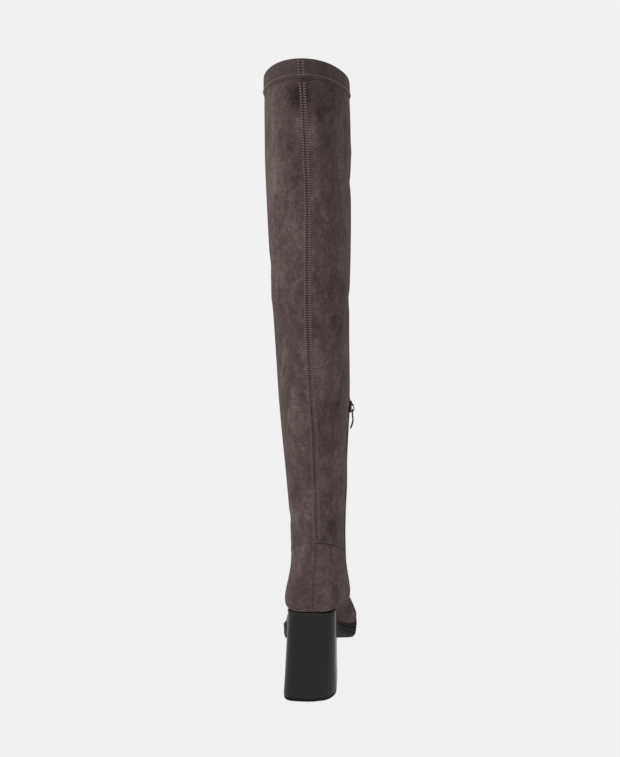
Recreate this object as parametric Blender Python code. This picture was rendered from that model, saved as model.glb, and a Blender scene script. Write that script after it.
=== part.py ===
"""Thigh high boot for the left foot, on a block heel, with a short zip on its inner side.

Metres. +Z is up, the toe points along +Y and the foot's inner side faces +X.
The origin is on the floor under the middle of the heel's top piece.
"""
import math

import bmesh
import bpy
import numpy as np
from mathutils import Matrix, Vector

# Gaps between pieces
GAP = 0.0003                 # between two pieces that are glued or sewn together
WELT_GAP = 0.0006            # between the vamp and the welt around it
INSOLE_GAP = 0.0008          # around the insole

# Heel
HEEL_BASE_WIDTH = 0.0585     # across the heel at the floor
HEEL_BASE_LENGTH = 0.0500    # back to breast at the floor
HEEL_TOP_LENGTH = 0.0540     # back to breast under the seat
HEEL_INNER_CORNER = 0.0190   # rounding of the heel's back edge on the inner side
HEEL_OUTER_CORNER = 0.0100   # and on the outer side
HEEL_TOP_CORNER = 0.0105     # and of both under the seat
HEEL_BREAST_CORNER = 0.0030  # rounding of its two front edges
BACK_CROWN = 0.0014          # how far the middle of its back face stands out
HEEL_OUT_LEAN = 0.0032       # how far the base stands to the outer side of the seat
TOP_PIECE_THICKNESS = 0.0040
TOP_PIECE_INSET = 0.0004     # the top piece stands back from the heel block
TOP_PIECE_BEVEL = 0.0006     # of its lower edge

# Sole
SEAT_HEIGHT = 0.1060         # floor to the sole's upper face at the back of the heel
SEAT_THICKNESS = 0.0026      # of the sole where it lies on the heel
TREAD_THICKNESS = 0.0138     # of the sole under the ball
TOE_SPRING = 0.0100          # floor to the sole's underside at the toe's tip
SOLE_LENGTH = 0.2280         # heel back to toe tip, along the floor
BALL_WIDTH = 0.0915          # across the sole at the ball
SEAT_WIDTH = 0.0515          # across the sole at the heel
SOLE_REVEAL = 0.0016         # how far the sole stands out past the upper at the ball
SIDE_GROOVE = 0.0010         # depth of the line that runs around the sole's side
SIDE_GROOVE_DROP = 0.0026    # of that line below the sole's upper edge
SIDE_GROOVE_WIDTH = 0.0008   # of that line, from its upper to its lower edge
TREAD_INNER_ROUND = 0.0110   # how far the tread is drawn in from the sole's inner side
TREAD_OUTER_ROUND = 0.0035   # and from its outer side
WELT_HEIGHT = 0.0022
WELT_START = 0.50            # the welt's ends at the arch, as a share of SOLE_LENGTH
WELT_TAPER = 0.08            # the length over which it rises, as a share of SOLE_LENGTH
INSOLE_THICKNESS = 0.0030

# Upper
BOOT_HEIGHT = 0.6600         # floor to the collar at the back
FOOT_WALL = 0.0020
SHAFT_WALL = 0.0016
BAND_HEIGHT = 0.0172         # hem band around the collar
BAND_STEP = 0.0008           # how far the folded hem stands proud of the shaft
BAND_EDGE = 0.0010           # rounding of the hem's two edges
COLLAR_DIP = 0.0065          # the collar is this much lower at the sides
ANKLE_WIDTH = 0.0600
ANKLE_LENGTH = 0.0860
CALF_WIDTH = 0.0776
CALF_LENGTH = 0.1230
COLLAR_WIDTH = 0.0870
COLLAR_LENGTH = 0.1500
ANKLE_SEAM_HEIGHT = 0.1810   # of the ankle seam at the back
ANKLE_SEAM_DROP = 0.0590     # from the back of the seam to its front
INSTEP_FLARE = 0.0120        # how far the instep runs forward below the ankle
SEAM_STEP = 0.0040           # the shaft's slope at the ankle seam is read over this height

# Zip
ZIP_TOP = 0.3285             # upper end of the zip
ZIP_SLOT = 0.0088            # distance between the two edges of the upper
ZIP_RECESS = 0.0009          # of the tape below the upper's face
COIL_WIDTH = 0.0044
COIL_HEIGHT = 0.0015
TAPE_THICKNESS = 0.0005
ZIP_START_ROW = 5            # rows of the foot's wall that stay whole under the zip
SHAFT_ZIP_PLACE = 0.475      # the zip on the shaft, as a share of the way from back to front
FOOT_ZIP_PLACE = 0.315       # the zip at the sole's edge, as a share of the way to the toe

# Slider and pull tab
SLIDER_LENGTH = 0.0120
SLIDER_WIDTH = 0.0078
SLIDER_PLATE = 0.0019
SLIDER_LIP = 0.0005          # its side lips reach down by this beside the coil
SLIDER_AHEAD = 0.0100         # length of zip over which the slider takes its slope
SLIDER_BELOW_TOP = 0.0098    # slider's middle below the upper end of the zip
CROWN_WIDTH = 0.0018
CROWN_THICKNESS = 0.0011
TAB_LENGTH = 0.0205          # hinge axis to the tab's tip
TAB_WIDTH = 0.0058
TAB_THICKNESS = 0.0015
TAB_EYE_WIDTH = 0.0028
TAB_EYE_LENGTH = 0.0062      # from the axis
TAB_CLEARANCE = 0.0003       # around the tab's cross bar
AXIS_FROM_END = 0.0024       # hinge axis above the slider's lower end
TAB_BOW = 0.0012             # outward bow of the tab

# Faces around and up the forms
BACK_CELLS = 9               # from the back seam to the zip's rear edge
FRONT_CELLS = 17             # from the zip's front edge to the toe
CORNER_STEPS = 6             # of each rounded back edge of the heel
SIDE_STEPS = 6               # along each side of the heel
FINE = 240                   # points of a half ring before it is cut into cells

# The sole along its length. Columns: along, as a share of SOLE_LENGTH; the half width,
# as a share of half the ball's width; the middle's shift to the inner side, as a share
# of half the ball's width; top and under, the heights of both faces as shares of the
# seat's; spring, as a share of TOE_SPRING; and reveal, as a share of SOLE_REVEAL.
SOLE_TABLE = {
    "along":  (0.00, 0.07, 0.16, 0.25, 0.35, 0.44, 0.51, 0.560, 0.64, 0.73, 0.82, 0.91, 1.00),
    "half":   (0.54, 0.55, 0.56, 0.545, 0.565, 0.650, 0.870, 1.00, 0.968, 0.92, 0.89, 0.87, 0.86),
    "shift":  (0.0, 0.0, 0.0, -0.010, -0.025, -0.050, 0.000, 0.045, 0.074, 0.112, 0.13, 0.14, 0.14),
    "top":    (1.000, 0.985, 0.885, 0.715, 0.490, 0.270, 0.125, 0.055, 0.010, 0.0, 0.0, 0.0, 0.0),
    "under":  (1.000, 0.985, 0.884, 0.715, 0.492, 0.255, 0.055, 0.0, 0.0, 0.0, 0.0, 0.0, 0.0),
    "spring": (0.0, 0.0, 0.0, 0.0, 0.0, 0.0, 0.0, 0.0, 0.0, 0.0, 0.16, 0.50, 1.00),
    "reveal": (0.15, 0.15, 0.15, 0.20, 0.45, 0.80, 1.00, 1.00, 1.00, 1.00, 1.00, 1.00, 1.00),
}
SEAT_FULL = 0.07             # up to this share of the length SEAT_WIDTH alone rules the width
SEAT_END = 0.35              # and from this share on BALL_WIDTH alone does
HEEL_ROUND = 0.115           # rounded back of the sole, as a share of SOLE_LENGTH
HEEL_SIDE_CURVE = 0.8         # how the heel's sides run up: under 1 widens low down first
HEEL_BREAST_CURVE = 2         # how its front runs up: over 1 widens near the seat
HEEL_POWER = 4.5             # 2 is a round heel, and more is a squarer one
TOE_ROUND = 0.36             # rounded front of the sole, as a share of SOLE_LENGTH
TOE_POWER = 2.05             # 2 is a round toe, and less is a more pointed one

# The shaft by height. Columns: up, from the floor as a share of BOOT_HEIGHT; width and
# length, as steps from 0 at the ankle over 1 at the calf to 2 at the collar; back, the
# place of the back line behind (-) or before the heel's back, as a share of
# CALF_LENGTH; shift, the middle's place to the inner side, as a share of CALF_WIDTH; and
# flare, as a share of INSTEP_FLARE.
SHAFT_TABLE = {
    "up":     (0.15, 0.185, 0.23, 0.29, 0.325, 0.375, 0.44, 0.51, 0.575, 0.655, 0.735, 0.81,
               0.875, 0.92, 1.00),
    "width":  (0.10, 0.02, 0.00, 0.02, 0.24, 0.35, 0.64, 0.95, 1.02, 1.31, 1.76, 1.99,
               2.12, 2.10, 1.82),
    "length": (0.10, 0.03, 0.00, 0.03, 0.10, 0.24, 0.48, 0.80, 0.97, 1.10, 1.32, 1.60,
               1.82, 1.92, 2.00),
    "back":   (-0.03, -0.01, 0.055, 0.090, 0.085, 0.060, 0.025, -0.015, -0.040, -0.040, -0.025,
               -0.008, 0.008, 0.018, 0.026),
    "shift":  (0.050, 0.060, 0.068, 0.060, 0.060, 0.048, 0.038, 0.035, 0.022, 0.005, -0.001,
               -0.012, -0.023, -0.022, -0.029),
    "flare":  (0.80, 0.62, 0.20, 0.0, 0.0, 0.0, 0.0, 0.0, 0.0, 0.0, 0.0, 0.0, 0.0, 0.0, 0.0),
}
SHAFT_POWER = 0.94           # 1 is an oval shaft, and less is a squarer one
# Rows of the shaft from the ankle seam to the hem band: up, as a share of the way; and
# level, how far the row has turned from the seam's slope to the level of the collar.
SHAFT_ROWS = {
    "up":    (0.0, 0.035, 0.075, 0.12, 0.175, 0.235, 0.36, 0.43, 0.50, 0.57, 0.64, 0.71, 0.78,
              0.85, 0.91, 0.96, 1.0),
    "level": (0.0, 0.25, 0.50, 0.72, 0.88, 1.0, 1.0, 1.0, 1.0, 1.0, 1.0, 1.0, 1.0, 1.0, 1.0,
              1.0, 1.0),
}

# The foot's wall, by the way around it from the heel's back (0) to the toe's tip (1).
# Each wall line is a curve from the sole's edge to the ankle seam with two handles.
# Columns: around; lean_in and lean_out, how far the lower handle reaches out past the
# sole's edge on the inner and the outer side; lift, how far it reaches up; and reach, the
# length of the upper handle. All four are shares of BALL_WIDTH.
FOOT_TABLE = {
    "around": (0.00, 0.10, 0.20, 0.32, 0.45, 0.58, 0.70, 0.82, 0.92, 1.00),
    "lean_in":  (0.105, 0.170, 0.235, 0.290, 0.260, 0.150, 0.055, 0.030, 0.030, 0.035),
    "lean_out": (0.105, 0.145, 0.150, 0.120, 0.020, -0.060, -0.050, 0.010, 0.025, 0.035),
    "lift":   (0.080, 0.060, 0.070, 0.150, 0.310, 0.380, 0.360, 0.330, 0.300, 0.290),
    "reach":  (0.300, 0.280, 0.300, 0.380, 0.520, 0.640, 0.720, 0.780, 0.820, 0.840),
}
FOOT_ROWS = (0.0, 0.05, 0.11, 0.18, 0.26, 0.35, 0.44, 0.53, 0.62, 0.71, 0.80, 0.90, 1.0)


def smooth(xs, ys, x):
    """Value at x of a curve through a table's points that never overshoots them."""
    xs = np.asarray(xs, float)
    ys = np.asarray(ys, float)
    steps = np.diff(xs)
    slopes = np.diff(ys) / steps
    tangents = np.zeros(len(xs))
    tangents[0] = slopes[0]
    tangents[-1] = slopes[-1]
    for i in range(1, len(xs) - 1):
        if slopes[i - 1] * slopes[i] > 0.0:
            before = 2.0 * steps[i] + steps[i - 1]
            after = steps[i] + 2.0 * steps[i - 1]
            tangents[i] = (before + after) / (before / slopes[i - 1] + after / slopes[i])
    x = min(max(x, xs[0]), xs[-1])
    i = min(int(np.searchsorted(xs, x, side="right")) - 1, len(xs) - 2)
    t = (x - xs[i]) / steps[i]
    return float(
        ys[i] * (1 + 2 * t) * (1 - t) ** 2
        + ys[i + 1] * t * t * (3 - 2 * t)
        + steps[i] * (tangents[i] * t * (1 - t) ** 2 + tangents[i + 1] * t * t * (t - 1))
    )


def column(table, key, name, x):
    """One column of a table, read at x of its key column."""
    return smooth(table[key], table[name], x)


# Sole's form

HEEL_BACK = -HEEL_BASE_LENGTH / 2
SEAT_MIDDLE = HEEL_OUT_LEAN


def sole_share(y):
    """How far y lies along the sole, from 0 at the heel's back to 1 at the toe's tip."""
    return (y - HEEL_BACK) / SOLE_LENGTH


def sole_top(y):
    """Height of the sole's upper face."""
    share = sole_share(y)
    rise = (SEAT_HEIGHT - TREAD_THICKNESS) * column(SOLE_TABLE, "along", "top", share)
    return TREAD_THICKNESS + rise + TOE_SPRING * column(SOLE_TABLE, "along", "spring", share)


def sole_under(y):
    """Height of the sole's underside, which is on the floor at the ball."""
    share = sole_share(y)
    rise = (SEAT_HEIGHT - SEAT_THICKNESS) * column(SOLE_TABLE, "along", "under", share)
    return rise + TOE_SPRING * column(SOLE_TABLE, "along", "spring", share)


def end_round(share):
    """Narrowing of the sole's outline at its two rounded ends, from 0 to 1."""
    if share < HEEL_ROUND:
        return (1.0 - (1.0 - share / HEEL_ROUND) ** HEEL_POWER) ** (1 / HEEL_POWER)
    if share > 1.0 - TOE_ROUND:
        return (1.0 - ((share - 1.0 + TOE_ROUND) / TOE_ROUND) ** TOE_POWER) ** (1 / TOE_POWER)
    return 1.0


def sole_half(share, side):
    """The sole's edge in x at a share of its length: side is 1 inside and -1 outside."""
    ball_half = BALL_WIDTH / 2
    wide = column(SOLE_TABLE, "along", "half", share)
    seat = min(max((SEAT_END - share) / (SEAT_END - SEAT_FULL), 0.0), 1.0)
    seat_half = SEAT_WIDTH / 2 * wide / SOLE_TABLE["half"][0]
    half = ball_half * wide * (1 - seat) + seat_half * seat
    middle = SEAT_MIDDLE + ball_half * column(SOLE_TABLE, "along", "shift", share)
    return middle + side * half * max(end_round(share), 0.0)


def fine_outline():
    """The sole's edge in plan in many points, from the heel's back by the inner side."""
    shares = [(1.0 - math.cos(math.pi * i / FINE)) / 2.0 for i in range(FINE + 1)]
    inner = [(sole_half(share, 1), HEEL_BACK + SOLE_LENGTH * share) for share in shares]
    outer = [(sole_half(share, -1), HEEL_BACK + SOLE_LENGTH * share) for share in shares]
    return np.array(inner + outer[-2:0:-1])


def shift_outline(outline, distances):
    """A closed plan outline moved outwards along its normals."""
    along = np.roll(outline, -1, axis=0) - np.roll(outline, 1, axis=0)
    normals = np.stack([along[:, 1], -along[:, 0]], axis=1)
    normals /= np.linalg.norm(normals, axis=1)[:, None]
    area = np.sum(outline[:, 0] * np.roll(outline[:, 1], -1) - outline[:, 1] * np.roll(outline[:, 0], -1))
    if area < 0:
        normals = -normals
    return outline + normals * np.broadcast_to(np.asarray(distances, float), len(outline))[:, None]


def reveal_at(outline):
    """How far the sole stands out past the upper, at each point of an outline."""
    return np.array([
        SOLE_REVEAL * column(SOLE_TABLE, "along", "reveal", sole_share(p[1])) for p in outline
    ])


def sole_edge():
    """The sole's edge in plan, with a point for each cell of the upper's lower ring."""
    ring = feather_ring()
    return shift_outline(ring[:, :2], reveal_at(ring[:, :2]))


# Shaft's form

def stepped(name, up, ankle, calf, collar):
    """A girth of the shaft from its step in the table: 0 ankle, 1 calf, 2 collar."""
    step = column(SHAFT_TABLE, "up", name, up)
    if step <= 1.0:
        return ankle + (calf - ankle) * step
    return calf + (collar - calf) * (step - 1.0)


def shaft_point(angle, back_z, front_z, proud=0.0):
    """Point of the shaft's outer face. Angle 0 is the back and pi / 2 the inner side."""
    share = (1.0 - math.cos(angle)) / 2.0
    z = back_z + (front_z - back_z) * share
    up = z / BOOT_HEIGHT
    width = stepped("width", up, ANKLE_WIDTH, CALF_WIDTH, COLLAR_WIDTH) / 2 + proud
    length = stepped("length", up, ANKLE_LENGTH, CALF_LENGTH, COLLAR_LENGTH)
    back = HEEL_BACK + CALF_LENGTH * column(SHAFT_TABLE, "up", "back", up) - proud
    front = back + length + 2 * proud + INSTEP_FLARE * column(SHAFT_TABLE, "up", "flare", up)
    middle = SEAT_MIDDLE + CALF_WIDTH * column(SHAFT_TABLE, "up", "shift", up)
    bulge = math.copysign(abs(math.sin(angle)) ** SHAFT_POWER, math.sin(angle))
    return np.array([middle + width * bulge, back + (front - back) * share, z])


def cut_half(points, slot_middle, slot_width):
    """A half ring from back to front cut into cells, with one cell as wide as the zip's slot."""
    lengths = np.concatenate([[0.0], np.cumsum(np.linalg.norm(np.diff(points, axis=0), axis=1))])
    rear = slot_middle * lengths[-1] - slot_width / 2
    fore = slot_middle * lengths[-1] + slot_width / 2
    places = np.concatenate([
        np.linspace(0.0, rear, BACK_CELLS + 1),
        np.linspace(fore, lengths[-1], FRONT_CELLS + 1),
    ])
    return np.stack([np.interp(places, lengths, points[:, k]) for k in range(3)], axis=1)


def whole_ring(inner_half, outer_half):
    """One closed ring of points from its two halves, both from back to front."""
    return np.concatenate([inner_half, outer_half[-2:0:-1]])


def shaft_ring(back_z, front_z, proud=0.0):
    """Ring of the shaft: its cells are equal apart from the zip's slot on the inner side."""
    angles = np.linspace(0.0, math.pi, FINE + 1)
    inner = np.array([shaft_point(a, back_z, front_z, proud) for a in angles])
    outer = np.array([shaft_point(-a, back_z, front_z, proud) for a in angles])
    return whole_ring(
        cut_half(inner, SHAFT_ZIP_PLACE, ZIP_SLOT), cut_half(outer, SHAFT_ZIP_PLACE, ZIP_SLOT)
    )


def seam_ring(above):
    """Ring of the shaft's face at the ankle seam, moved up by a distance."""
    return shaft_ring(ANKLE_SEAM_HEIGHT + above, ANKLE_SEAM_HEIGHT - ANKLE_SEAM_DROP + above)


def collar_drop(ring):
    """How much lower the collar is at each point of a ring: nothing at back and front."""
    y = ring[:, 1]
    share = (y - y.min()) / (y.max() - y.min())
    return COLLAR_DIP * 4.0 * share * (1.0 - share)


def collar_ring(z, proud=0.0):
    """Level ring of the shaft that follows the collar's dip."""
    ring = shaft_ring(z, z, proud)
    ring[:, 2] -= collar_drop(ring)
    return ring


# Foot's form

def feather_ring():
    """Ring where the upper's outer face meets the sole, with cells that match the shaft's."""
    edge = fine_outline()
    plan = shift_outline(edge, -reveal_at(edge))
    heights = np.array([sole_top(y) + GAP for _, y in plan])
    line = np.column_stack([plan, heights])
    inner = line[:FINE + 1]
    outer = np.concatenate([line[:1], line[:FINE - 1:-1]])
    ring = whole_ring(
        cut_half(inner, FOOT_ZIP_PLACE, ZIP_SLOT), cut_half(outer, FOOT_ZIP_PLACE, ZIP_SLOT)
    )
    ring[:, 2] = [sole_top(y) + GAP for y in ring[:, 1]]
    return ring


def around_shares(ring):
    """How far each point of a ring is from the back (0) to the front (1), along the ring."""
    steps = np.linalg.norm(np.diff(np.concatenate([ring, ring[:1]]), axis=0), axis=1)
    places = np.concatenate([[0.0], np.cumsum(steps)])
    half = BACK_CELLS + FRONT_CELLS + 1
    front = places[half]
    total = places[-1]
    return np.array([
        p / front if k <= half else (total - p) / (total - front)
        for k, p in enumerate(places[:-1])
    ])


def plan_normals(ring):
    """Outward directions of a ring, level with the floor."""
    moved = shift_outline(ring[:, :2], 1.0) - ring[:, :2]
    return np.column_stack([moved, np.zeros(len(ring))])


def foot_rows():
    """The foot's outer face: rings from the sole's edge to the ankle seam."""
    low = feather_ring()
    high = seam_ring(-GAP)
    below = seam_ring(-GAP - SEAM_STEP)
    down = below - high
    down /= np.linalg.norm(down, axis=1)[:, None]
    out = plan_normals(low)
    shares = around_shares(low)
    front = BACK_CELLS + FRONT_CELLS + 1
    lean = BALL_WIDTH * np.array([
        column(FOOT_TABLE, "around", "lean_in" if k <= front else "lean_out", s)
        for k, s in enumerate(shares)
    ])
    lift = BALL_WIDTH * np.array([column(FOOT_TABLE, "around", "lift", s) for s in shares])
    reach = BALL_WIDTH * np.array([column(FOOT_TABLE, "around", "reach", s) for s in shares])
    first = low + out * lean[:, None] + np.array([0.0, 0.0, 1.0]) * lift[:, None]
    second = high + down * reach[:, None]
    rows = []
    for t in FOOT_ROWS:
        rows.append(
            low * (1 - t) ** 3 + first * 3 * t * (1 - t) ** 2
            + second * 3 * t * t * (1 - t) + high * t ** 3
        )
    return np.array(rows)


def shaft_rows():
    """The shaft's outer face: rings from the ankle seam to the hem band."""
    base_back = ANKLE_SEAM_HEIGHT
    base_front = ANKLE_SEAM_HEIGHT - ANKLE_SEAM_DROP
    hem = BOOT_HEIGHT - BAND_HEIGHT - GAP / 2
    zip_share = (ZIP_TOP - base_back) / (hem - base_back)
    ups = sorted(set(SHAFT_ROWS["up"]) | {zip_share})
    rows = []
    for up in ups:
        level = column(SHAFT_ROWS, "up", "level", up)
        back_z = base_back + (hem - base_back) * up
        front_z = back_z - ANKLE_SEAM_DROP * (1.0 - level)
        ring = shaft_ring(back_z, front_z)
        dip = min(max((up - 0.5) / 0.5, 0.0), 1.0)
        ring[:, 2] -= collar_drop(ring) * dip
        rows.append(ring)
    rows = np.array(rows)
    return rows, ups.index(zip_share)


# Mesh building

def face_normals_out(rows):
    """Outward unit normals at the points of stacked rings."""
    around = np.roll(rows, -1, axis=1) - np.roll(rows, 1, axis=1)
    up = np.empty_like(rows)
    up[1:-1] = rows[2:] - rows[:-2]
    up[0] = rows[1] - rows[0]
    up[-1] = rows[-1] - rows[-2]
    normals = np.cross(around, up)
    return normals / np.linalg.norm(normals, axis=2)[:, :, None]


def inner_rows(rows, wall, level_ends=True):
    """The wall's inner face. Its two end rings stay level with those of the outer face."""
    normals = face_normals_out(rows)
    inner = rows - normals * wall
    if level_ends:
        for end in (0, -1):
            flat = shift_outline(rows[end][:, :2], -wall)
            inner[end][:, :2] = flat
            inner[end][:, 2] = rows[end][:, 2]
    return inner


def finish_mesh(name, verts, faces, material, sharp_degrees=35.0, parent=None, origin=None):
    """Makes a named object from points and faces, with its faces pointing out."""
    mesh = bpy.data.meshes.new(name)
    shift = np.zeros(3) if origin is None else np.array(origin)
    mesh.from_pydata([tuple(np.array(v) - shift) for v in verts], [], faces)
    mesh.update()
    work = bmesh.new()
    work.from_mesh(mesh)
    loose = [v for v in work.verts if not v.link_faces]
    bmesh.ops.delete(work, geom=loose, context="VERTS")
    bmesh.ops.recalc_face_normals(work, faces=work.faces)
    work.to_mesh(mesh)
    work.free()
    mesh.shade_smooth()
    mesh.set_sharp_from_angle(angle=math.radians(sharp_degrees))
    mesh.materials.append(material)
    obj = bpy.data.objects.new(name, mesh)
    bpy.context.scene.collection.objects.link(obj)
    obj.location = Vector(shift)
    if parent is not None:
        obj.parent = parent
        obj.matrix_parent_inverse = Matrix.Identity(4)
        obj.location = Vector((0.0, 0.0, 0.0))
    return obj


def shell(outer, inner, skip):
    """Points and faces of a wall between two stacks of rings, open at both ends.

    skip(row, cell) is true where the wall has a slot.
    """
    rows, cols, _ = outer.shape
    verts = list(outer.reshape(-1, 3)) + list(inner.reshape(-1, 3))
    offset = rows * cols
    quads = []
    for r in range(rows - 1):
        for c in range(cols):
            if not skip(r, c):
                d = (c + 1) % cols
                quads.append((r * cols + c, r * cols + d, (r + 1) * cols + d, (r + 1) * cols + c))
    edges = {(q[k], q[(k + 1) % 4]) for q in quads for k in range(4)}
    faces = list(quads)
    faces += [tuple(v + offset for v in reversed(q)) for q in quads]
    for a, b in sorted(edges):
        if (b, a) not in edges:
            faces.append((b, a, a + offset, b + offset))
    return verts, faces


def loops_solid(loops):
    """Points and faces of a solid from stacked closed loops of one station order.

    The first and last loop are closed across, from each side's points to the other's.
    """
    count = len(loops[0])
    verts = [tuple(p) for loop in loops for p in loop]
    faces = []
    for k in range(len(loops) - 1):
        for c in range(count):
            d = (c + 1) % count
            faces.append((k * count + c, k * count + d, (k + 1) * count + d, (k + 1) * count + c))
    half = count // 2
    last = (len(loops) - 1) * count
    for base in (0, last):
        faces.append((base, base + 1, base + count - 1))
        for c in range(1, half - 1):
            faces.append((base + c, base + c + 1, base + count - c - 1, base + count - c))
        faces.append((base + half - 1, base + half, base + half + 1))
    return verts, faces


def make_material(name, colour, roughness, metallic=0.0):
    """A plain material of one colour."""
    material = bpy.data.materials.new(name)
    material.use_nodes = True
    shader = material.node_tree.nodes["Principled BSDF"]
    shader.inputs["Base Color"].default_value = (*colour, 1.0)
    shader.inputs["Roughness"].default_value = roughness
    shader.inputs["Metallic"].default_value = metallic
    material.diffuse_color = (*colour, 1.0)
    return material


# Pieces of the sole

def faceted(height_at, choose, ys):
    """Height of one of the sole's two faces at each y, as its flat facets have it.

    The two edges have points at different y, so choose takes the higher or lower of both.
    """
    edge = sole_edge()
    half = BACK_CELLS + FRONT_CELLS + 1
    inner = edge[:half + 1, 1]
    outer = np.concatenate([edge[:1, 1], edge[:half - 1:-1, 1]])
    at_inner = np.interp(ys, inner, [height_at(y) for y in inner])
    at_outer = np.interp(ys, outer, [height_at(y) for y in outer])
    return choose(at_inner, at_outer)


def make_outsole(material):
    """One moulded sole: seat on the heel, shank, ball and toe, with a line around its side."""
    edge = sole_edge()
    depth = np.array([sole_top(y) - sole_under(y) for _, y in edge])
    thick = np.clip((depth - SEAT_THICKNESS) / (TREAD_THICKNESS - SEAT_THICKNESS), 0.0, 1.0)
    groove = SIDE_GROOVE * thick
    front = BACK_CELLS + FRONT_CELLS + 1
    rounds = [TREAD_INNER_ROUND if k < front else TREAD_OUTER_ROUND for k in range(len(edge))]
    rounds[0] = rounds[front] = (TREAD_INNER_ROUND + TREAD_OUTER_ROUND) / 2
    drawn = np.array(rounds) * thick

    def loop(inset, drop):
        plan = shift_outline(edge, -inset)
        return [(x, y, sole_top(e[1]) - d) for (x, y), e, d in zip(plan, edge, drop)]

    drop = SIDE_GROOVE_DROP * thick + 0.30 * depth * (1 - thick)
    width = SIDE_GROOVE_WIDTH * thick + 0.10 * depth * (1 - thick)
    loops = [
        loop(np.zeros(len(edge)), np.zeros(len(edge))),
        loop(np.zeros(len(edge)), drop),
        loop(groove, drop + width * 0.5),
        loop(groove, drop + width),
        loop(groove * 0.2, drop + width * 1.6),
        loop(drawn * 0.08, depth - (depth - drop - width * 1.6) * 0.45),
        loop(drawn * 0.42, depth - (depth - drop - width * 1.6) * 0.14),
        loop(drawn, depth),
    ]
    # The tread keeps the sole's own underside
    loops[-1] = [(x, y, sole_under(e[1])) for (x, y, _), e in zip(loops[-1], edge)]
    verts, faces = loops_solid(loops)
    return finish_mesh("outsole", verts, faces, material)


def make_insole(material):
    """The board and sock that the foot stands on, inside the upper."""
    plan = shift_outline(feather_ring()[:, :2], -(FOOT_WALL + INSOLE_GAP))
    ground = faceted(sole_top, np.maximum, plan[:, 1]) + GAP
    low = np.column_stack([plan, ground])
    high = np.column_stack([plan, ground + INSOLE_THICKNESS])
    verts, faces = loops_solid([low, high])
    return finish_mesh("insole", verts, faces, material)


def make_welt(material, rows):
    """A rim that lies on the sole around the vamp, from the arch to the other side's arch."""
    low_ring, next_ring = rows[0], rows[1]
    edge = sole_edge()
    chosen = [k for k in range(len(edge)) if sole_share(edge[k][1]) > WELT_START]
    foot = shift_outline(low_ring[:, :2], WELT_GAP)
    outside = edge
    sections = []
    for k in chosen:
        taper = min(1.0, 0.3 + (sole_share(edge[k][1]) - WELT_START) / WELT_TAPER)
        height = WELT_HEIGHT * taper
        low = low_ring[k][2]
        rise = height / (next_ring[k][2] - low)
        tilt = (next_ring[k][:2] - low_ring[k][:2]) * rise
        inside = foot[k]
        top = inside + tilt
        outer = outside[k]
        outer_low = max(low, sole_top(outer[1]) + GAP)
        shoulder = outer + (top - outer) * 0.25
        sections.append([
            (*inside, low), (*outer, outer_low), (*outer, outer_low + height * 0.6),
            (*shoulder, outer_low + height), (*top, low + height),
        ])
    return finish_mesh("welt", *strip_solid(sections), material)


def strip_solid(sections):
    """Points and faces of a solid strip from its cross sections, closed at both ends."""
    size = len(sections[0])
    verts = [tuple(p) for s in sections for p in s]
    faces = []
    for i in range(len(sections) - 1):
        for k in range(size):
            m = (k + 1) % size
            faces.append((i * size + k, i * size + m, (i + 1) * size + m, (i + 1) * size + k))
    faces.append(tuple(range(size)))
    last = (len(sections) - 1) * size
    faces.append(tuple(last + k for k in range(size)))
    return verts, faces


# Heel

def half_heel(half, length, back, corner):
    """Half of the heel's plan from the middle of its back to the middle of its breast."""
    points = [(0.0, back - BACK_CROWN), ((half - corner) * 0.6, back - BACK_CROWN * 0.6)]
    for i in range(CORNER_STEPS + 1):
        angle = math.radians(-90.0 + 90.0 * i / CORNER_STEPS)
        points.append((
            half - corner + corner * math.cos(angle), back + corner + corner * math.sin(angle),
        ))
    side = length - corner - HEEL_BREAST_CORNER
    for i in range(1, SIDE_STEPS):
        points.append((half, back + corner + side * i / SIDE_STEPS))
    for i in range(CORNER_STEPS // 2 + 1):
        angle = math.radians(90.0 * i / (CORNER_STEPS // 2))
        points.append((
            half - HEEL_BREAST_CORNER + HEEL_BREAST_CORNER * math.cos(angle),
            back + length - HEEL_BREAST_CORNER + HEEL_BREAST_CORNER * math.sin(angle),
        ))
    points.append((0.0, back + length))
    return points


def heel_plan(width, length, middle, back, share):
    """Plan of the heel from the middle of its back by the inner side to the breast and back.

    share is the plan's place from the floor (0) to the seat (1).
    """
    inner_corner = HEEL_INNER_CORNER + (HEEL_TOP_CORNER - HEEL_INNER_CORNER) * share
    outer_corner = HEEL_OUTER_CORNER + (HEEL_TOP_CORNER - HEEL_OUTER_CORNER) * share
    inner = half_heel(width / 2, length, back, inner_corner)
    outer = half_heel(width / 2, length, back, outer_corner)
    return [(middle + x, y) for x, y in inner] + [(middle - x, y) for x, y in outer[-2:0:-1]]


def heel_sections():
    """Plans of the heel block from the floor to the seat, with the share of its height."""
    plans = []
    for share in (0.0, 0.25, 0.5, 0.75, 1.0):
        width = HEEL_BASE_WIDTH + (SEAT_WIDTH - HEEL_BASE_WIDTH) * share ** HEEL_SIDE_CURVE
        length = HEEL_BASE_LENGTH + (HEEL_TOP_LENGTH - HEEL_BASE_LENGTH) * share ** HEEL_BREAST_CURVE
        middle = HEEL_OUT_LEAN * share
        plans.append((share, heel_plan(width, length, middle, HEEL_BACK, share)))
    return plans


def make_heel(material):
    """The heel block, from the top piece to the underside of the sole's seat."""
    foot = TOP_PIECE_THICKNESS + GAP
    loops = []
    for share, plan in heel_sections():
        seats = faceted(sole_under, np.minimum, [y for _, y in plan]) - GAP
        loops.append([(x, y, foot + (seat - foot) * share) for (x, y), seat in zip(plan, seats)])
    return finish_mesh("heel_block", *loops_solid(loops), material)


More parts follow.
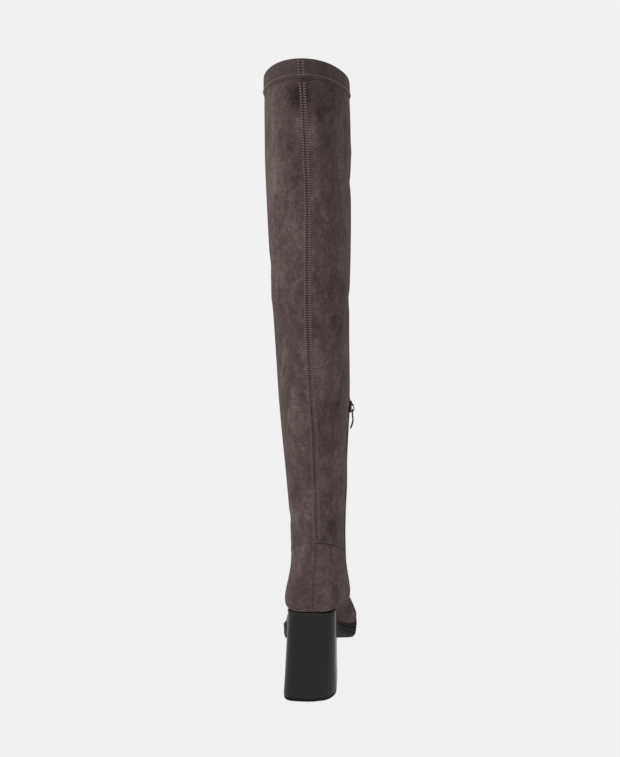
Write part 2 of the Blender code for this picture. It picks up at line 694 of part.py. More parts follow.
def make_top_piece(material):
    """The hard wearing layer under the heel, flat on the floor."""
    plan = heel_plan(
        HEEL_BASE_WIDTH - 2 * TOP_PIECE_INSET, HEEL_BASE_LENGTH - 2 * TOP_PIECE_INSET, 0.0,
        HEEL_BACK + TOP_PIECE_INSET, 0.0,
    )
    narrow = 1 - 2 * TOP_PIECE_BEVEL / HEEL_BASE_WIDTH
    short = 1 - 2 * TOP_PIECE_BEVEL / HEEL_BASE_LENGTH
    low = [(x * narrow, y * short, 0.0) for x, y in plan]
    bevel = [(x, y, TOP_PIECE_BEVEL) for x, y in plan]
    high = [(x, y, TOP_PIECE_THICKNESS) for x, y in plan]
    return finish_mesh("heel_top_piece", *loops_solid([low, bevel, high]), material)


# Pieces of the upper

def slot_cell(cell):
    """True for the cell of a ring that the zip's slot takes up."""
    return cell == BACK_CELLS


def make_foot(material, rows):
    """Vamp and quarters: one hollow wall from the sole's edge to the ankle seam."""
    inner = inner_rows(rows, FOOT_WALL)
    verts, faces = shell(rows, inner, lambda r, c: slot_cell(c) and r >= ZIP_START_ROW)
    return finish_mesh("foot_upper", verts, faces, material, 60.0)


def make_shaft(material, rows, zip_row):
    """The leg of the boot: one hollow wall from the ankle seam to the hem band."""
    inner = inner_rows(rows, SHAFT_WALL)
    verts, faces = shell(rows, inner, lambda r, c: slot_cell(c) and r < zip_row)
    return finish_mesh("shaft", verts, faces, material, 60.0)


def make_band(material):
    """The folded hem around the collar, which stands a little proud of the shaft."""
    low = BOOT_HEIGHT - BAND_HEIGHT + GAP / 2
    steps = ((low, 0.35), (low + BAND_EDGE, 1.0), (BOOT_HEIGHT - BAND_HEIGHT / 2, 1.0),
             (BOOT_HEIGHT - BAND_EDGE, 1.0), (BOOT_HEIGHT, 0.35))
    outer = np.array([collar_ring(z, BAND_STEP * proud) for z, proud in steps])
    inner = np.array([collar_ring(z, -SHAFT_WALL) for z, _ in steps])
    verts, faces = shell(outer, inner, lambda r, c: False)
    return finish_mesh("collar_band", verts, faces, material, 60.0)


# Zip

def zip_line(rows_foot, rows_shaft, zip_row):
    """Frames along the slot: the two edge points, the outward normal, for each row."""
    foot_normals = face_normals_out(rows_foot)
    shaft_normals = face_normals_out(rows_shaft)
    frames = []
    for r in range(ZIP_START_ROW, len(rows_foot) - 1):
        frames.append((
            rows_foot[r][BACK_CELLS], rows_foot[r][BACK_CELLS + 1],
            foot_normals[r][BACK_CELLS] + foot_normals[r][BACK_CELLS + 1],
        ))
    for r in range(0, zip_row + 1):
        frames.append((
            rows_shaft[r][BACK_CELLS], rows_shaft[r][BACK_CELLS + 1],
            shaft_normals[r][BACK_CELLS] + shaft_normals[r][BACK_CELLS + 1],
        ))
    return [(a, b, n / np.linalg.norm(n)) for a, b, n in frames]


def make_zip(material, frames):
    """Tape and closed coil in the slot, a little below the upper's face."""
    half = COIL_WIDTH / ZIP_SLOT / 2
    side = GAP / ZIP_SLOT
    across = (
        (side, 0.0), (0.5 - half, 0.0), (0.5 - half * 0.8, COIL_HEIGHT),
        (0.5 + half * 0.8, COIL_HEIGHT), (0.5 + half, 0.0), (1.0 - side, 0.0),
        (1.0 - side, -TAPE_THICKNESS), (side, -TAPE_THICKNESS),
    )
    ends = [frames[0], *frames[1:-1], frames[-1]]
    first = along_step(frames[0], frames[1], 2 * GAP)
    last = along_step(frames[-1], frames[-2], 2 * GAP)
    ends[0] = first
    ends[-1] = last
    sections = []
    for a, b, n in ends:
        sections.append([a + (b - a) * s + n * (h - ZIP_RECESS) for s, h in across])
    return finish_mesh("zip", *strip_solid(sections), material, 40.0)


def along_step(frame, toward, distance):
    """A frame of the slot moved along it by a distance."""
    step = (toward[0] + toward[1]) / 2 - (frame[0] + frame[1]) / 2
    step = step / np.linalg.norm(step) * distance
    return frame[0] + step, frame[1] + step, frame[2]


def slider_frame(frames):
    """Place of the slider on the zip: a matrix with across, up and out as its axes."""
    middles = np.array([(a + b) / 2 + n * (COIL_HEIGHT - ZIP_RECESS) for a, b, n in frames])
    z = ZIP_TOP - SLIDER_BELOW_TOP
    place = np.array([np.interp(z, middles[:, 2], middles[:, k]) for k in range(3)])
    above = np.array([np.interp(z + SLIDER_AHEAD, middles[:, 2], middles[:, k]) for k in range(3)])
    up = above - place
    up /= np.linalg.norm(up)
    across = np.array([0.0, 1.0, 0.0])
    out = np.cross(across, up)
    out /= np.linalg.norm(out)
    up = np.cross(out, across)
    return place + out * GAP, across, up, out


def place_local(frame, points):
    """Local points (across, up, out) of the slider's frame as points in space."""
    place, across, up, out = frame
    return [place + across * p[0] + up * p[1] + out * p[2] for p in points]


def box_points(x0, x1, y0, y1, z0, z1):
    """Corners of a box, low face first."""
    return [(x0, y0, z0), (x1, y0, z0), (x1, y1, z0), (x0, y1, z0),
            (x0, y0, z1), (x1, y0, z1), (x1, y1, z1), (x0, y1, z1)]


AXIS_HEIGHT = SLIDER_PLATE + TAB_CLEARANCE + TAB_THICKNESS / 2
CROWN_INSIDE = AXIS_HEIGHT + TAB_THICKNESS / 2 + TAB_CLEARANCE


def make_slider(material, frame):
    """The slider: a shield shaped plate with two side lips and a crown that holds the tab."""
    half = SLIDER_LENGTH / 2
    wide = SLIDER_WIDTH / 2
    inner = COIL_WIDTH / 2 + GAP
    sections = []
    for share, narrow in ((-1.0, 0.72), (-0.8, 0.86), (0.1, 0.92), (0.7, 1.0), (1.0, 0.82)):
        w = wide * narrow
        low = -SLIDER_LIP
        sections.append([
            (-w, share * half, low), (-inner, share * half, low), (-inner, share * half, 0.0),
            (inner, share * half, 0.0), (inner, share * half, low), (w, share * half, low),
            (w, share * half, SLIDER_PLATE * 0.6), (w * 0.78, share * half, SLIDER_PLATE),
            (-w * 0.78, share * half, SLIDER_PLATE), (-w, share * half, SLIDER_PLATE * 0.6),
        ])
    verts, faces = strip_solid([place_local(frame, s) for s in sections])
    plate = finish_mesh("zip_slider", verts, faces, material, 30.0)

    axis = -half + AXIS_FROM_END
    post = axis - TAB_THICKNESS / 2 - TAB_CLEARANCE
    top = CROWN_INSIDE + CROWN_THICKNESS
    side = CROWN_WIDTH / 2
    root = SLIDER_PLATE / 2
    outline = (
        (post - CROWN_THICKNESS, root), (post - CROWN_THICKNESS * 0.7, top * 0.75),
        (axis, top), (axis + TAB_THICKNESS, top * 0.97), (half * 0.45, top * 0.70),
        (half * 0.80, root), (half * 0.42, root), (half * 0.10, CROWN_INSIDE * 0.80),
        (axis + TAB_THICKNESS * 0.8, CROWN_INSIDE), (post + TAB_CLEARANCE, CROWN_INSIDE),
        (post, CROWN_INSIDE * 0.85), (post, root),
    )
    left = place_local(frame, [(-side, y, z) for y, z in outline])
    right = place_local(frame, [(side, y, z) for y, z in outline])
    crown = finish_mesh("crown_form", *strip_solid([left, right]), material, 30.0)
    crown.hide_render = True
    crown.display_type = "WIRE"
    union = plate.modifiers.new("crown", "BOOLEAN")
    union.operation = "UNION"
    union.object = crown
    return plate


def make_tab(material, frame):
    """The pull tab: a bowed plate that hangs on its cross bar under the slider's crown."""
    place, across, up, out = frame
    half = SLIDER_LENGTH / 2
    pivot = place + up * (-half + AXIS_FROM_END) + out * AXIS_HEIGHT
    joint = bpy.data.objects.new("pull_tab_axis", None)
    joint.empty_display_size = 0.01
    joint.location = Vector(pivot)
    bpy.context.scene.collection.objects.link(joint)

    arm = TAB_WIDTH / 2
    eye = TAB_EYE_WIDTH / 2
    thick = TAB_THICKNESS / 2
    stations = (
        (-thick, 0.40), (-thick * 0.5, 0.85), (0.0, 1.0), (TAB_EYE_LENGTH * 0.5, 1.0),
        (TAB_EYE_LENGTH, 1.0), (TAB_LENGTH * 0.40, 1.0), (TAB_LENGTH * 0.55, 1.0),
        (TAB_LENGTH * 0.70, 1.0), (TAB_LENGTH * 0.85, 1.0), (TAB_LENGTH * 0.95, 1.0),
        (TAB_LENGTH, 0.45),
    )

    def bow(s):
        free = max(s - TAB_EYE_LENGTH * 0.8, 0.0) / (TAB_LENGTH - TAB_EYE_LENGTH * 0.8)
        return TAB_BOW * math.sin(math.pi * free * 1.25)

    def wide(s):
        if s < TAB_LENGTH * 0.90:
            return arm * (0.90 + 0.10 * min(max(s / TAB_EYE_LENGTH, 0.0), 1.0))
        return arm * (1.0 - 0.35 * ((s - TAB_LENGTH * 0.90) / (TAB_LENGTH * 0.10)) ** 2)

    sections = []
    for s, full in stations:
        w = wide(s)
        t = thick * full
        middle = bow(s)
        sections.append([
            (-w, -s, middle - t * 0.5), (-w * 0.9, -s, middle - t), (w * 0.9, -s, middle - t),
            (w, -s, middle - t * 0.5), (w, -s, middle + t * 0.5), (w * 0.9, -s, middle + t),
            (-w * 0.9, -s, middle + t), (-w, -s, middle + t * 0.5),
        ])
    local = (pivot, across, up, out)
    tab = finish_mesh(
        "pull_tab", *strip_solid([place_local(local, s) for s in sections]), material, 30.0,
        joint, pivot,
    )
    cut = place_local(local, box_points(-eye, eye, -TAB_EYE_LENGTH, -thick, -0.004, 0.004))
    faces = [(0, 1, 2, 3), (4, 7, 6, 5), (0, 4, 5, 1), (1, 5, 6, 2), (2, 6, 7, 3), (3, 7, 4, 0)]
    cutter = finish_mesh("eye_cutter", cut, faces, material, 30.0)
    cutter.hide_render = True
    cutter.display_type = "WIRE"
    difference = tab.modifiers.new("eye", "BOOLEAN")
    difference.operation = "DIFFERENCE"
    difference.object = cutter
    return tab


def main():
    """Builds every piece of the boot."""
    for obj in list(bpy.data.objects):
        bpy.data.objects.remove(obj, do_unlink=True)

    suede = make_material("taupe_suede", (0.095, 0.068, 0.067), 0.95)
    hem = make_material("taupe_suede_hem", (0.100, 0.072, 0.071), 0.95)
    rubber = make_material("black_sole_rubber", (0.012, 0.012, 0.012), 0.55)
    rim = make_material("black_rim", (0.016, 0.016, 0.016), 0.40)
    lacquer = make_material("black_heel_lacquer", (0.022, 0.022, 0.022), 0.22)
    sock = make_material("insole_sock", (0.070, 0.055, 0.050), 0.90)
    tape = make_material("zip_tape", (0.060, 0.045, 0.043), 0.70)
    metal = make_material("gunmetal", (0.060, 0.060, 0.065), 0.30, 1.0)

    foot = foot_rows()
    shaft, zip_row = shaft_rows()
    frames = zip_line(foot, shaft, zip_row)
    slider = slider_frame(frames)

    make_outsole(rubber)
    make_welt(rim, foot)
    make_insole(sock)
    make_heel(lacquer)
    make_top_piece(rubber)
    make_foot(suede, foot)
    make_shaft(suede, shaft, zip_row)
    make_band(hem)
    make_zip(tape, frames)
    make_slider(metal, slider)
    make_tab(metal, slider)


main()
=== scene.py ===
"""Looks of the left thigh high boot: stretch suede cloth, lacquered heel, black sole and zip.

Metres. +X is the foot's inner side, +Y the toe and +Z up. The heel stands on the origin.
"""

import logging
import math
from dataclasses import dataclass, field
from enum import Enum
from typing import Any, Callable, Iterable, Mapping, Sequence

import bmesh
import bpy
import numpy as np
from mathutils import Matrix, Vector
from mathutils.bvhtree import BVHTree


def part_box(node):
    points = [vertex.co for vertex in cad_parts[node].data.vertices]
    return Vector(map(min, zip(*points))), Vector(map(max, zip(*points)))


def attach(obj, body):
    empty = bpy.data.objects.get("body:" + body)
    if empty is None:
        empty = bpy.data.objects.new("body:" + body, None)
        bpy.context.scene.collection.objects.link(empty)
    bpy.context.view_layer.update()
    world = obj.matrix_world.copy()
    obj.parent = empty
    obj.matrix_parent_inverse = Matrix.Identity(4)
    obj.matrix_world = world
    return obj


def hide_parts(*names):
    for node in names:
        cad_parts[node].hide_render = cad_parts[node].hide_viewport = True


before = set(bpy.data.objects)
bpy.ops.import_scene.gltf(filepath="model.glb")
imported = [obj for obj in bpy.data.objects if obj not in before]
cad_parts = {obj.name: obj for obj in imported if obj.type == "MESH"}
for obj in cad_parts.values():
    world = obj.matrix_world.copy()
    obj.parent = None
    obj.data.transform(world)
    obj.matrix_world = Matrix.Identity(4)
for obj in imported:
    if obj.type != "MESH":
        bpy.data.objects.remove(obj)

LOG = logging.getLogger("thigh_high_boot")
MM = 0.001
BODY = "boot"

Material = bpy.types.Material
Mesh = bpy.types.Mesh
Socket = bpy.types.NodeSocket
Colour = tuple[float, float, float, float]
Point = tuple[float, float, float]
Spot = tuple[Vector, Vector]                 # a point of a surface and its outward direction
Step = tuple[Vector, Vector, Vector]         # the same with the direction of the run between

# Measures of the CAD part that the looks follow, in metres
BOOT_HEIGHT = 0.660
COLLAR_BACK_Y = -0.0228
COLLAR_LENGTH = 0.1517
COLLAR_DIP = 0.0065
ANKLE_BACK_Y = -0.0145
ANKLE_LENGTH = 0.0815
ANKLE_BACK_HEIGHT = 0.1810
ANKLE_FALL = 0.0590

# Directions of the rays that look for a surface
TO_FRONT = Vector((0.0, 1.0, 0.0))
TO_OUTER_SIDE = Vector((-1.0, 0.0, 0.0))


class Side(Enum):
    """The two faces of the boot's cloth."""

    OUTER = 0
    INNER = 1


def linear(code: str) -> Colour:
    """Turns an sRGB hex colour to a linear one.

    Args:
        code: Six hex digits with a leading number sign.

    Returns:
        Red, green, blue and an opaque alpha.
    """
    parts = [int(code[i:i + 2], 16) / 255.0 for i in (1, 3, 5)]
    red, green, blue = (
        p / 12.92 if p <= 0.04045 else ((p + 0.055) / 1.055) ** 2.4 for p in parts
    )
    return red, green, blue, 1.0


def add_node(
    tree: bpy.types.NodeTree,
    kind: str,
    settings: Mapping[Any, Any] | None = None,
    links: Mapping[Any, Socket] | None = None,
) -> bpy.types.Node:
    """Adds a shader node with its settings and links.

    Args:
        tree: The material's or world's node tree.
        kind: The node's type name without its ShaderNode prefix.
        settings: Values by property name, or by the name or number of an input.
        links: Output sockets by the name or number of the input that takes them.

    Returns:
        The new node.
    """
    made = tree.nodes.new("ShaderNode" + kind)
    for key, value in (settings or {}).items():
        if isinstance(key, str) and hasattr(made, key) and key not in made.inputs:
            setattr(made, key, value)
        else:
            made.inputs[key].default_value = value
    for key, socket in (links or {}).items():
        tree.links.new(socket, made.inputs[key])
    return made


class Look:
    """A material in the making: its shader, and the patterns that feed it."""

    def __init__(self, name: str, shader_values: Mapping[str, Any]) -> None:
        """Starts the material and sets its shader's uniform values.

        Args:
            name: The material's name.
            shader_values: Values by the shader's input names.
        """
        self.material = bpy.data.materials.new(name)
        self.material.use_nodes = True
        self.tree = self.material.node_tree
        self.shader = self.tree.nodes["Principled BSDF"]
        for key, value in shader_values.items():
            self.shader.inputs[key].default_value = value
        self.place = add_node(self.tree, "TexCoord").outputs["Object"]

    def add(
        self,
        kind: str,
        settings: Mapping[Any, Any] | None = None,
        links: Mapping[Any, Socket] | None = None,
    ) -> Socket:
        """Adds a node to the material, as add_node does, and gives its first output."""
        return add_node(self.tree, kind, settings, links).outputs[0]

    def feed(self, key: str, socket: Socket) -> None:
        """Links a pattern to one of the shader's inputs."""
        self.tree.links.new(socket, self.shader.inputs[key])

    def noise(
        self, size_mm: float, detail: float = 2.0, roughness: float = 0.5, distortion: float = 0.0,
        place: Socket | None = None,
    ) -> Socket:
        """Adds a cloudy pattern.

        Args:
            size_mm: Size of its clouds.
            detail: Number of finer layers.
            roughness: Strength of the finer layers.
            distortion: How far the clouds are bent.
            place: The place that it follows, or None for the place on the piece.

        Returns:
            Values from 0 to 1.
        """
        return add_node(self.tree, "TexNoise", {
            "Scale": 1.0 / (size_mm * MM), "Detail": detail, "Roughness": roughness,
            "Distortion": distortion,
        }, {"Vector": self.place if place is None else place}).outputs["Fac"]

    def tones(
        self, share: Socket, first: str, last: str,
        start: float = 0.0, end: float = 1.0, middle: str = "",
    ) -> Socket:
        """Turns a pattern to colours.

        Args:
            share: The pattern.
            first: Colour code of its low values.
            last: Colour code of its high values.
            start: Value up to which the first colour holds.
            end: Value from which the last colour holds.
            middle: Colour code halfway, or none.

        Returns:
            The colours.
        """
        ramp = add_node(self.tree, "ValToRGB", {}, {"Fac": share})
        stops = ramp.color_ramp.elements
        stops[0].position, stops[0].color = start, linear(first)
        stops[1].position, stops[1].color = end, linear(last)
        if middle:
            stops.new(0.5).color = linear(middle)
        return ramp.outputs["Color"]

    def bump(
        self, height: Socket, strength: float, depth_mm: float,
        under: Socket | None = None,
    ) -> Socket:
        """Turns a pattern to relief.

        Args:
            height: The pattern.
            strength: Share of the relief that shows.
            depth_mm: Its depth.
            under: Relief that it lies on, or none.

        Returns:
            The normals.
        """
        links = {"Height": height} if under is None else {"Height": height, "Normal": under}
        return self.add("Bump", {"Strength": strength, "Distance": depth_mm * MM}, links)


@dataclass(frozen=True)
class BrushedSuede:
    """Stretch microfibre suede: woven backing with a nap that was sanded and brushed.

    To the eye it is matt, with patches where the nap lies the other way and turns light or dark,
    some patches of painted shade, and a pale edge where the nap stands up against the light.
    """

    name: str
    dark: str
    middle: str
    light: str
    patch_mm: float = 26.0
    streak_mm: float = 9.0
    blotch_mm: float = 5.0
    nap_mm: float = 1.6          # real fibres are 0.1 mm and wouldn't show, so drawn coarser
    shares: tuple[float, float, float, float] = (0.95, 0.55, 0.75, 0.55)
    tone_and_shade_share: float = 0.85
    mottle: float = 1.0

    def build(self) -> Material:
        """Builds the material.

        Returns:
            The finished suede.
        """
        look = Look(self.name, {
            "Roughness": 0.92, "IOR": 1.45, "Specular IOR Level": 0.18,
            "Sheen Weight": 0.30, "Sheen Roughness": 0.42, "Sheen Tint": linear("#c9b8b6"),
        })
        drawn_out = look.add("Mapping", {"Scale": (1.0, 1.0, 0.55)}, {"Vector": look.place})
        patch = look.noise(self.patch_mm, 4.0, 0.62, 0.6, drawn_out)
        streak = look.noise(self.streak_mm, 4.0, 0.6, 0.3, drawn_out)
        blotch = look.noise(self.blotch_mm, 3.0, 0.6, 0.8)
        nap = look.noise(self.nap_mm, 3.0, 0.65)
        # Nap tone of the cloth's points, with painted shade in a few patches low on the foot's inner
        # side
        nap_tone_and_shade = add_node(look.tree, "Attribute", {"attribute_name": "nap_tone_and_shade"}).outputs["Fac"]
        plain = (1.0 - self.tone_and_shade_share) / 2
        tone = look.add(
            "Math", {"operation": "MULTIPLY_ADD", 1: self.tone_and_shade_share, 2: plain}, {0: nap_tone_and_shade}
        )
        for noise, share in zip((patch, streak, blotch, nap), self.shares):
            part = self.mottle * share
            centred = look.add("Math", {"operation": "MULTIPLY_ADD", 1: part, 2: -part / 2}, {0: noise})
            tone = look.add("Math", {"operation": "ADD"}, {0: tone, 1: centred})
        look.feed("Base Color", look.tones(tone, self.dark, self.light, middle=self.middle))
        fibre = look.bump(nap, 0.45, 0.25)
        look.feed("Normal", look.bump(streak, 0.35, 0.8, fibre))
        return look.material


@dataclass(frozen=True)
class MouldedRubber:
    """Thermoplastic rubber, injection moulded: satin black with a fine spark-eroded grain."""

    name: str
    colour: str
    worn: str
    roughness: float
    seat: str = ""               # lighter colour of the edge over the heel: a painted reflection, as bright as the glossy heel
    seat_end_y: float = 0.03
    grain_mm: float = 0.8
    dust_mm: float = 14.0

    def build(self) -> Material:
        """Builds the material.

        Returns:
            The finished rubber.
        """
        look = Look(self.name, {"IOR": 1.52, "Specular IOR Level": 0.28})
        grain = look.noise(self.grain_mm)
        dust = look.noise(self.dust_mm, 5.0, 0.6)
        colour = look.tones(dust, self.colour, self.worn, 0.35, 0.75)
        # Painted reflection: towards the back, the edge over the heel is lightened to the glossy heel's
        # brightness
        if self.seat:
            along = add_node(look.tree, "SeparateXYZ", {}, {"Vector": look.place}).outputs["Y"]
            over = look.add("MapRange", {
                "From Min": 0.0, "From Max": self.seat_end_y, "To Min": 1.0, "To Max": 0.0,
            }, {"Value": along})
            colour = look.add(
                "MixRGB", {"Color2": linear(self.seat)}, {"Fac": over, "Color1": colour}
            )
        look.feed("Base Color", colour)
        look.feed("Roughness", look.add("MapRange", {
            "To Min": self.roughness - 0.05, "To Max": self.roughness + 0.10,
        }, {"Value": dust}))
        look.feed("Normal", look.bump(grain, 0.25, 0.08))
        return look.material


class Pattern(Enum):
    """What a finish's tones follow: a texture node, its output and its scale at one a metre."""

    CLOUDS = ("TexNoise", "Fac", 1.0)
    BANDS = ("TexWave", "Fac", 0.314)
    PORES = ("TexVoronoi", "Distance", 1.0)


@dataclass(frozen=True)
class PatternedFinish:
    """A finish with one pattern, which its tones, its gloss and its relief follow."""

    name: str
    shader_values: Mapping[str, float]
    pattern: Pattern
    size_mm: float
    first: str
    last: str
    settings: Mapping[str, Any] = field(default_factory=dict)
    tones_end: float = 1.0
    gloss: tuple[float, float] | None = None          # roughness from low to high values
    relief: tuple[str, float, float] | None = None    # shader input, strength and depth in mm

    def build(self) -> Material:
        """Builds the material.

        Returns:
            The finished material.
        """
        look = Look(self.name, self.shader_values)
        kind, output, scale = self.pattern.value
        drawn = add_node(look.tree, kind, {
            "Scale": scale / (self.size_mm * MM), **self.settings,
        }, {"Vector": look.place}).outputs[output]
        look.feed("Base Color", look.tones(drawn, self.first, self.last, end=self.tones_end))
        if self.gloss:
            look.feed("Roughness", look.add("MapRange", {
                "To Min": self.gloss[0], "To Max": self.gloss[1],
            }, {"Value": drawn}))
        if self.relief:
            key, strength, depth_mm = self.relief
            look.feed(key, look.bump(drawn, strength, depth_mm))
        return look.material


# Warp-knitted polyester, smooth and a little shiny, with fine ribs
TRICOT_LINING = PatternedFinish(
    "warp_knit_lining",
    {"Roughness": 0.72, "IOR": 1.5, "Sheen Weight": 0.15, "Sheen Roughness": 0.4},
    Pattern.BANDS, 1.2, "#302929", "#3a3232",
    {"bands_direction": "DIAGONAL", "Distortion": 0.4}, relief=("Normal", 0.3, 0.2),
)

# Polyurethane lacquer sprayed over a moulded ABS heel: deep black with a clear gloss
HEEL_LACQUER = PatternedFinish(
    "sprayed_black_lacquer",
    {
        "IOR": 1.5, "Specular IOR Level": 0.1,
        "Coat Weight": 1.0, "Coat Roughness": 0.05, "Coat IOR": 1.5,
    },
    Pattern.CLOUDS, 16.0, "#070707", "#0b0b0b",
    gloss=(0.22, 0.32), relief=("Coat Normal", 0.04, 0.3),
)

# Herringbone woven polyester zip tape, dyed to the cloth
WOVEN_TAPE = PatternedFinish(
    "woven_zip_tape", {"Roughness": 0.8, "IOR": 1.5, "Sheen Weight": 0.15},
    Pattern.BANDS, 0.7, "#2e2727", "#4a4040",
    {"bands_direction": "Z", "Distortion": 1.5}, relief=("Normal", 0.5, 0.2),
)

# Die-cast zinc with dark gunmetal plating, tumbled: soft highlights and rubbed spots
PLATED_ZINC = PatternedFinish(
    "gunmetal_plated_zinc", {"Metallic": 1.0},
    Pattern.CLOUDS, 2.5, "#2c2b2d", "#4a494b", {"Detail": 3.0}, gloss=(0.24, 0.42),
)

# Thin pigskin sock, dyed and plated smooth, with scattered pores
SOCK_LEATHER = PatternedFinish(
    "pigskin_sock", {"Roughness": 0.62, "IOR": 1.5},
    Pattern.PORES, 1.8, "#352c29", "#4b403b", tones_end=0.35, relief=("Normal", 0.3, 0.15),
)


def thread_finish(name: str, colour: str, shade: str, twist_mm: float = 0.6) -> PatternedFinish:
    """Twisted polyester thread, and lines that look like it: a soft shine and a two-ply twist."""
    values = {"Roughness": 0.6, "IOR": 1.53, "Sheen Weight": 0.2, "Sheen Roughness": 0.4}
    return PatternedFinish(name, values, Pattern.CLOUDS, twist_mm, shade, colour)


@dataclass(frozen=True)
class Crease:
    """A soft trough (depth above 0) or ridge (below 0) in the cloth, along a line of points."""

    line_mm: tuple[Point, ...]
    width_mm: float
    depth_mm: float


@dataclass(frozen=True)
class NapAndShadePatch:
    """A patch of reversed nap, and in a few places a patch of painted shade, by its middle and half
    sizes in metres.
    """

    x: float
    z: float
    half_width: float
    half_height: float
    tone: float


# Middle x and z, half width, half height and tone of each patch
NAP_AND_SHADE_PATCHES = tuple(NapAndShadePatch(*row) for row in (
    (-0.007, 0.629, 0.009, 0.007, -0.5), (0.0115, 0.612, 0.003, 0.022, 0.35),
    (0.017, 0.616, 0.005, 0.005, -0.35), (0.030, 0.596, 0.007, 0.013, -0.25),
    (-0.030, 0.565, 0.008, 0.026, 0.3), (-0.009, 0.579, 0.007, 0.017, -0.2),
    (0.040, 0.635, 0.006, 0.007, -0.3), (-0.028, 0.475, 0.009, 0.014, 0.35),
    (-0.022, 0.453, 0.006, 0.005, 0.25), (-0.011, 0.431, 0.013, 0.009, -0.3),
    (-0.004, 0.406, 0.003, 0.005, -0.5), (0.009, 0.414, 0.005, 0.006, -0.35),
    (0.014, 0.364, 0.011, 0.020, 0.2), (0.029, 0.453, 0.007, 0.014, -0.25),
    (0.033, 0.417, 0.006, 0.009, -0.3), (-0.016, 0.364, 0.008, 0.014, -0.15),
    (-0.006, 0.331, 0.008, 0.010, -0.15), (0.028, 0.331, 0.008, 0.009, -0.25),
    (-0.008, 0.242, 0.007, 0.021, -0.35), (-0.016, 0.224, 0.009, 0.007, -0.3),
    (-0.012, 0.202, 0.014, 0.011, 0.25), (0.019, 0.260, 0.006, 0.006, -0.45),
    (0.022, 0.286, 0.008, 0.010, -0.3), (0.024, 0.196, 0.007, 0.009, -0.3),
    (0.011, 0.220, 0.003, 0.031, 0.2), (-0.012, 0.283, 0.007, 0.012, -0.15),
    (-0.010, 0.134, 0.010, 0.010, -0.2), (0.007, 0.168, 0.005, 0.008, -0.2),
    (0.025, 0.137, 0.008, 0.013, 0.12), (0.030, 0.565, 0.008, 0.015, 0.15),
    (0.032, 0.519, 0.008, 0.017, -0.15), (-0.017, 0.519, 0.010, 0.013, 0.12),
    (0.024, 0.608, 0.015, 0.034, -0.20), (0.028, 0.570, 0.011, 0.024, -0.14),
    (-0.002, 0.632, 0.014, 0.010, -0.18), (-0.027, 0.392, 0.008, 0.055, -0.16),
    (0.004, 0.392, 0.007, 0.050, 0.12), (0.022, 0.482, 0.012, 0.032, 0.12),
    # The first patch of this row is painted shade in the foot's inner lower corner
    (0.040, 0.080, 0.008, 0.016, -0.25), (0.019, 0.140, 0.008, 0.016, 0.12),
    (-0.009, 0.626, 0.012, 0.010, -0.25), (0.026, 0.630, 0.016, 0.012, -0.18),
    (0.038, 0.600, 0.008, 0.030, -0.14), (0.016, 0.522, 0.012, 0.034, 0.14),
    (0.022, 0.214, 0.010, 0.012, 0.20), (0.024, 0.157, 0.010, 0.012, 0.12),
    # The first patch of this row is painted shade in the foot's inner lower corner
    (0.031, 0.094, 0.007, 0.014, -0.30), (-0.001, 0.627, 0.009, 0.010, -0.45),
    # The first patch of this row is painted shade in the foot's inner lower corner
    (0.038, 0.060, 0.012, 0.020, -0.45), (-0.027, 0.140, 0.006, 0.035, 0.20),
))

# Middle line of the boot's inside, from the collar to the toe
INSIDE_LINE = np.array([
    (0.001, 0.053, 0.66), (0.003, 0.040, 0.45), (0.007, 0.030, 0.28), (0.008, 0.028, 0.19),
    (0.008, 0.032, 0.14), (0.008, 0.048, 0.11), (0.007, 0.075, 0.078), (0.007, 0.110, 0.048),
    (0.009, 0.150, 0.031), (0.010, 0.185, 0.027),
])


def nearest_on_line(points: np.ndarray, line: np.ndarray) -> np.ndarray:
    """Finds the nearest place on a broken line for each point.

    Args:
        points: Points as rows.
        line: The line's corners as rows.

    Returns:
        The nearest places as rows.
    """
    best = np.full(len(points), np.inf)
    found = np.zeros_like(points)
    for a, b in zip(line[:-1], line[1:]):
        d = b - a
        t = np.clip(((points - a) @ d) / max(float(d @ d), 1e-12), 0.0, 1.0)
        place = a + t[:, None] * d
        gap = np.linalg.norm(points - place, axis=1)
        closer = gap < best
        best[closer] = gap[closer]
        found[closer] = place[closer]
    return found


def rows_of(items: Any, key: str) -> np.ndarray:
    """Reads a point or direction of each of a mesh's items.

    Args:
        items: The mesh's points, faces or normals.
        key: What is read of each.

    Returns:
        The values as rows.
    """
    values = np.zeros(len(items) * 3)
    items.foreach_get(key, values)
    return values.reshape(-1, 3)


def add_object(name: str, data: bpy.types.ID) -> bpy.types.Object:
    """Puts a mesh, lamp or camera in the scene as a new object.

    Args:
        name: The object's name.
        data: What it shows.

    Returns:
        The new object.
    """
    made = bpy.data.objects.new(name, data)
    bpy.context.scene.collection.objects.link(made)
    return made


def link_piece(name: str, mesh: Mesh, body: str = BODY) -> bpy.types.Object:
    """Puts a mesh in the scene as a piece that rides on a body.

    Args:
        name: The piece's name.
        mesh: Its mesh, in the row frame.
        body: The body that it moves with.

    Returns:
        The new object.
    """
    made = add_object(name, mesh)
    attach(made, body)
    return made


def tree_of(obj: bpy.types.Object) -> BVHTree:
    """Makes a search tree of a piece, from its own points and faces.

    Args:
        obj: The piece.

    Returns:
        The tree.
    """
    points = [vertex.co.copy() for vertex in obj.data.vertices]
    return BVHTree.FromPolygons(points, [tuple(face.vertices) for face in obj.data.polygons])


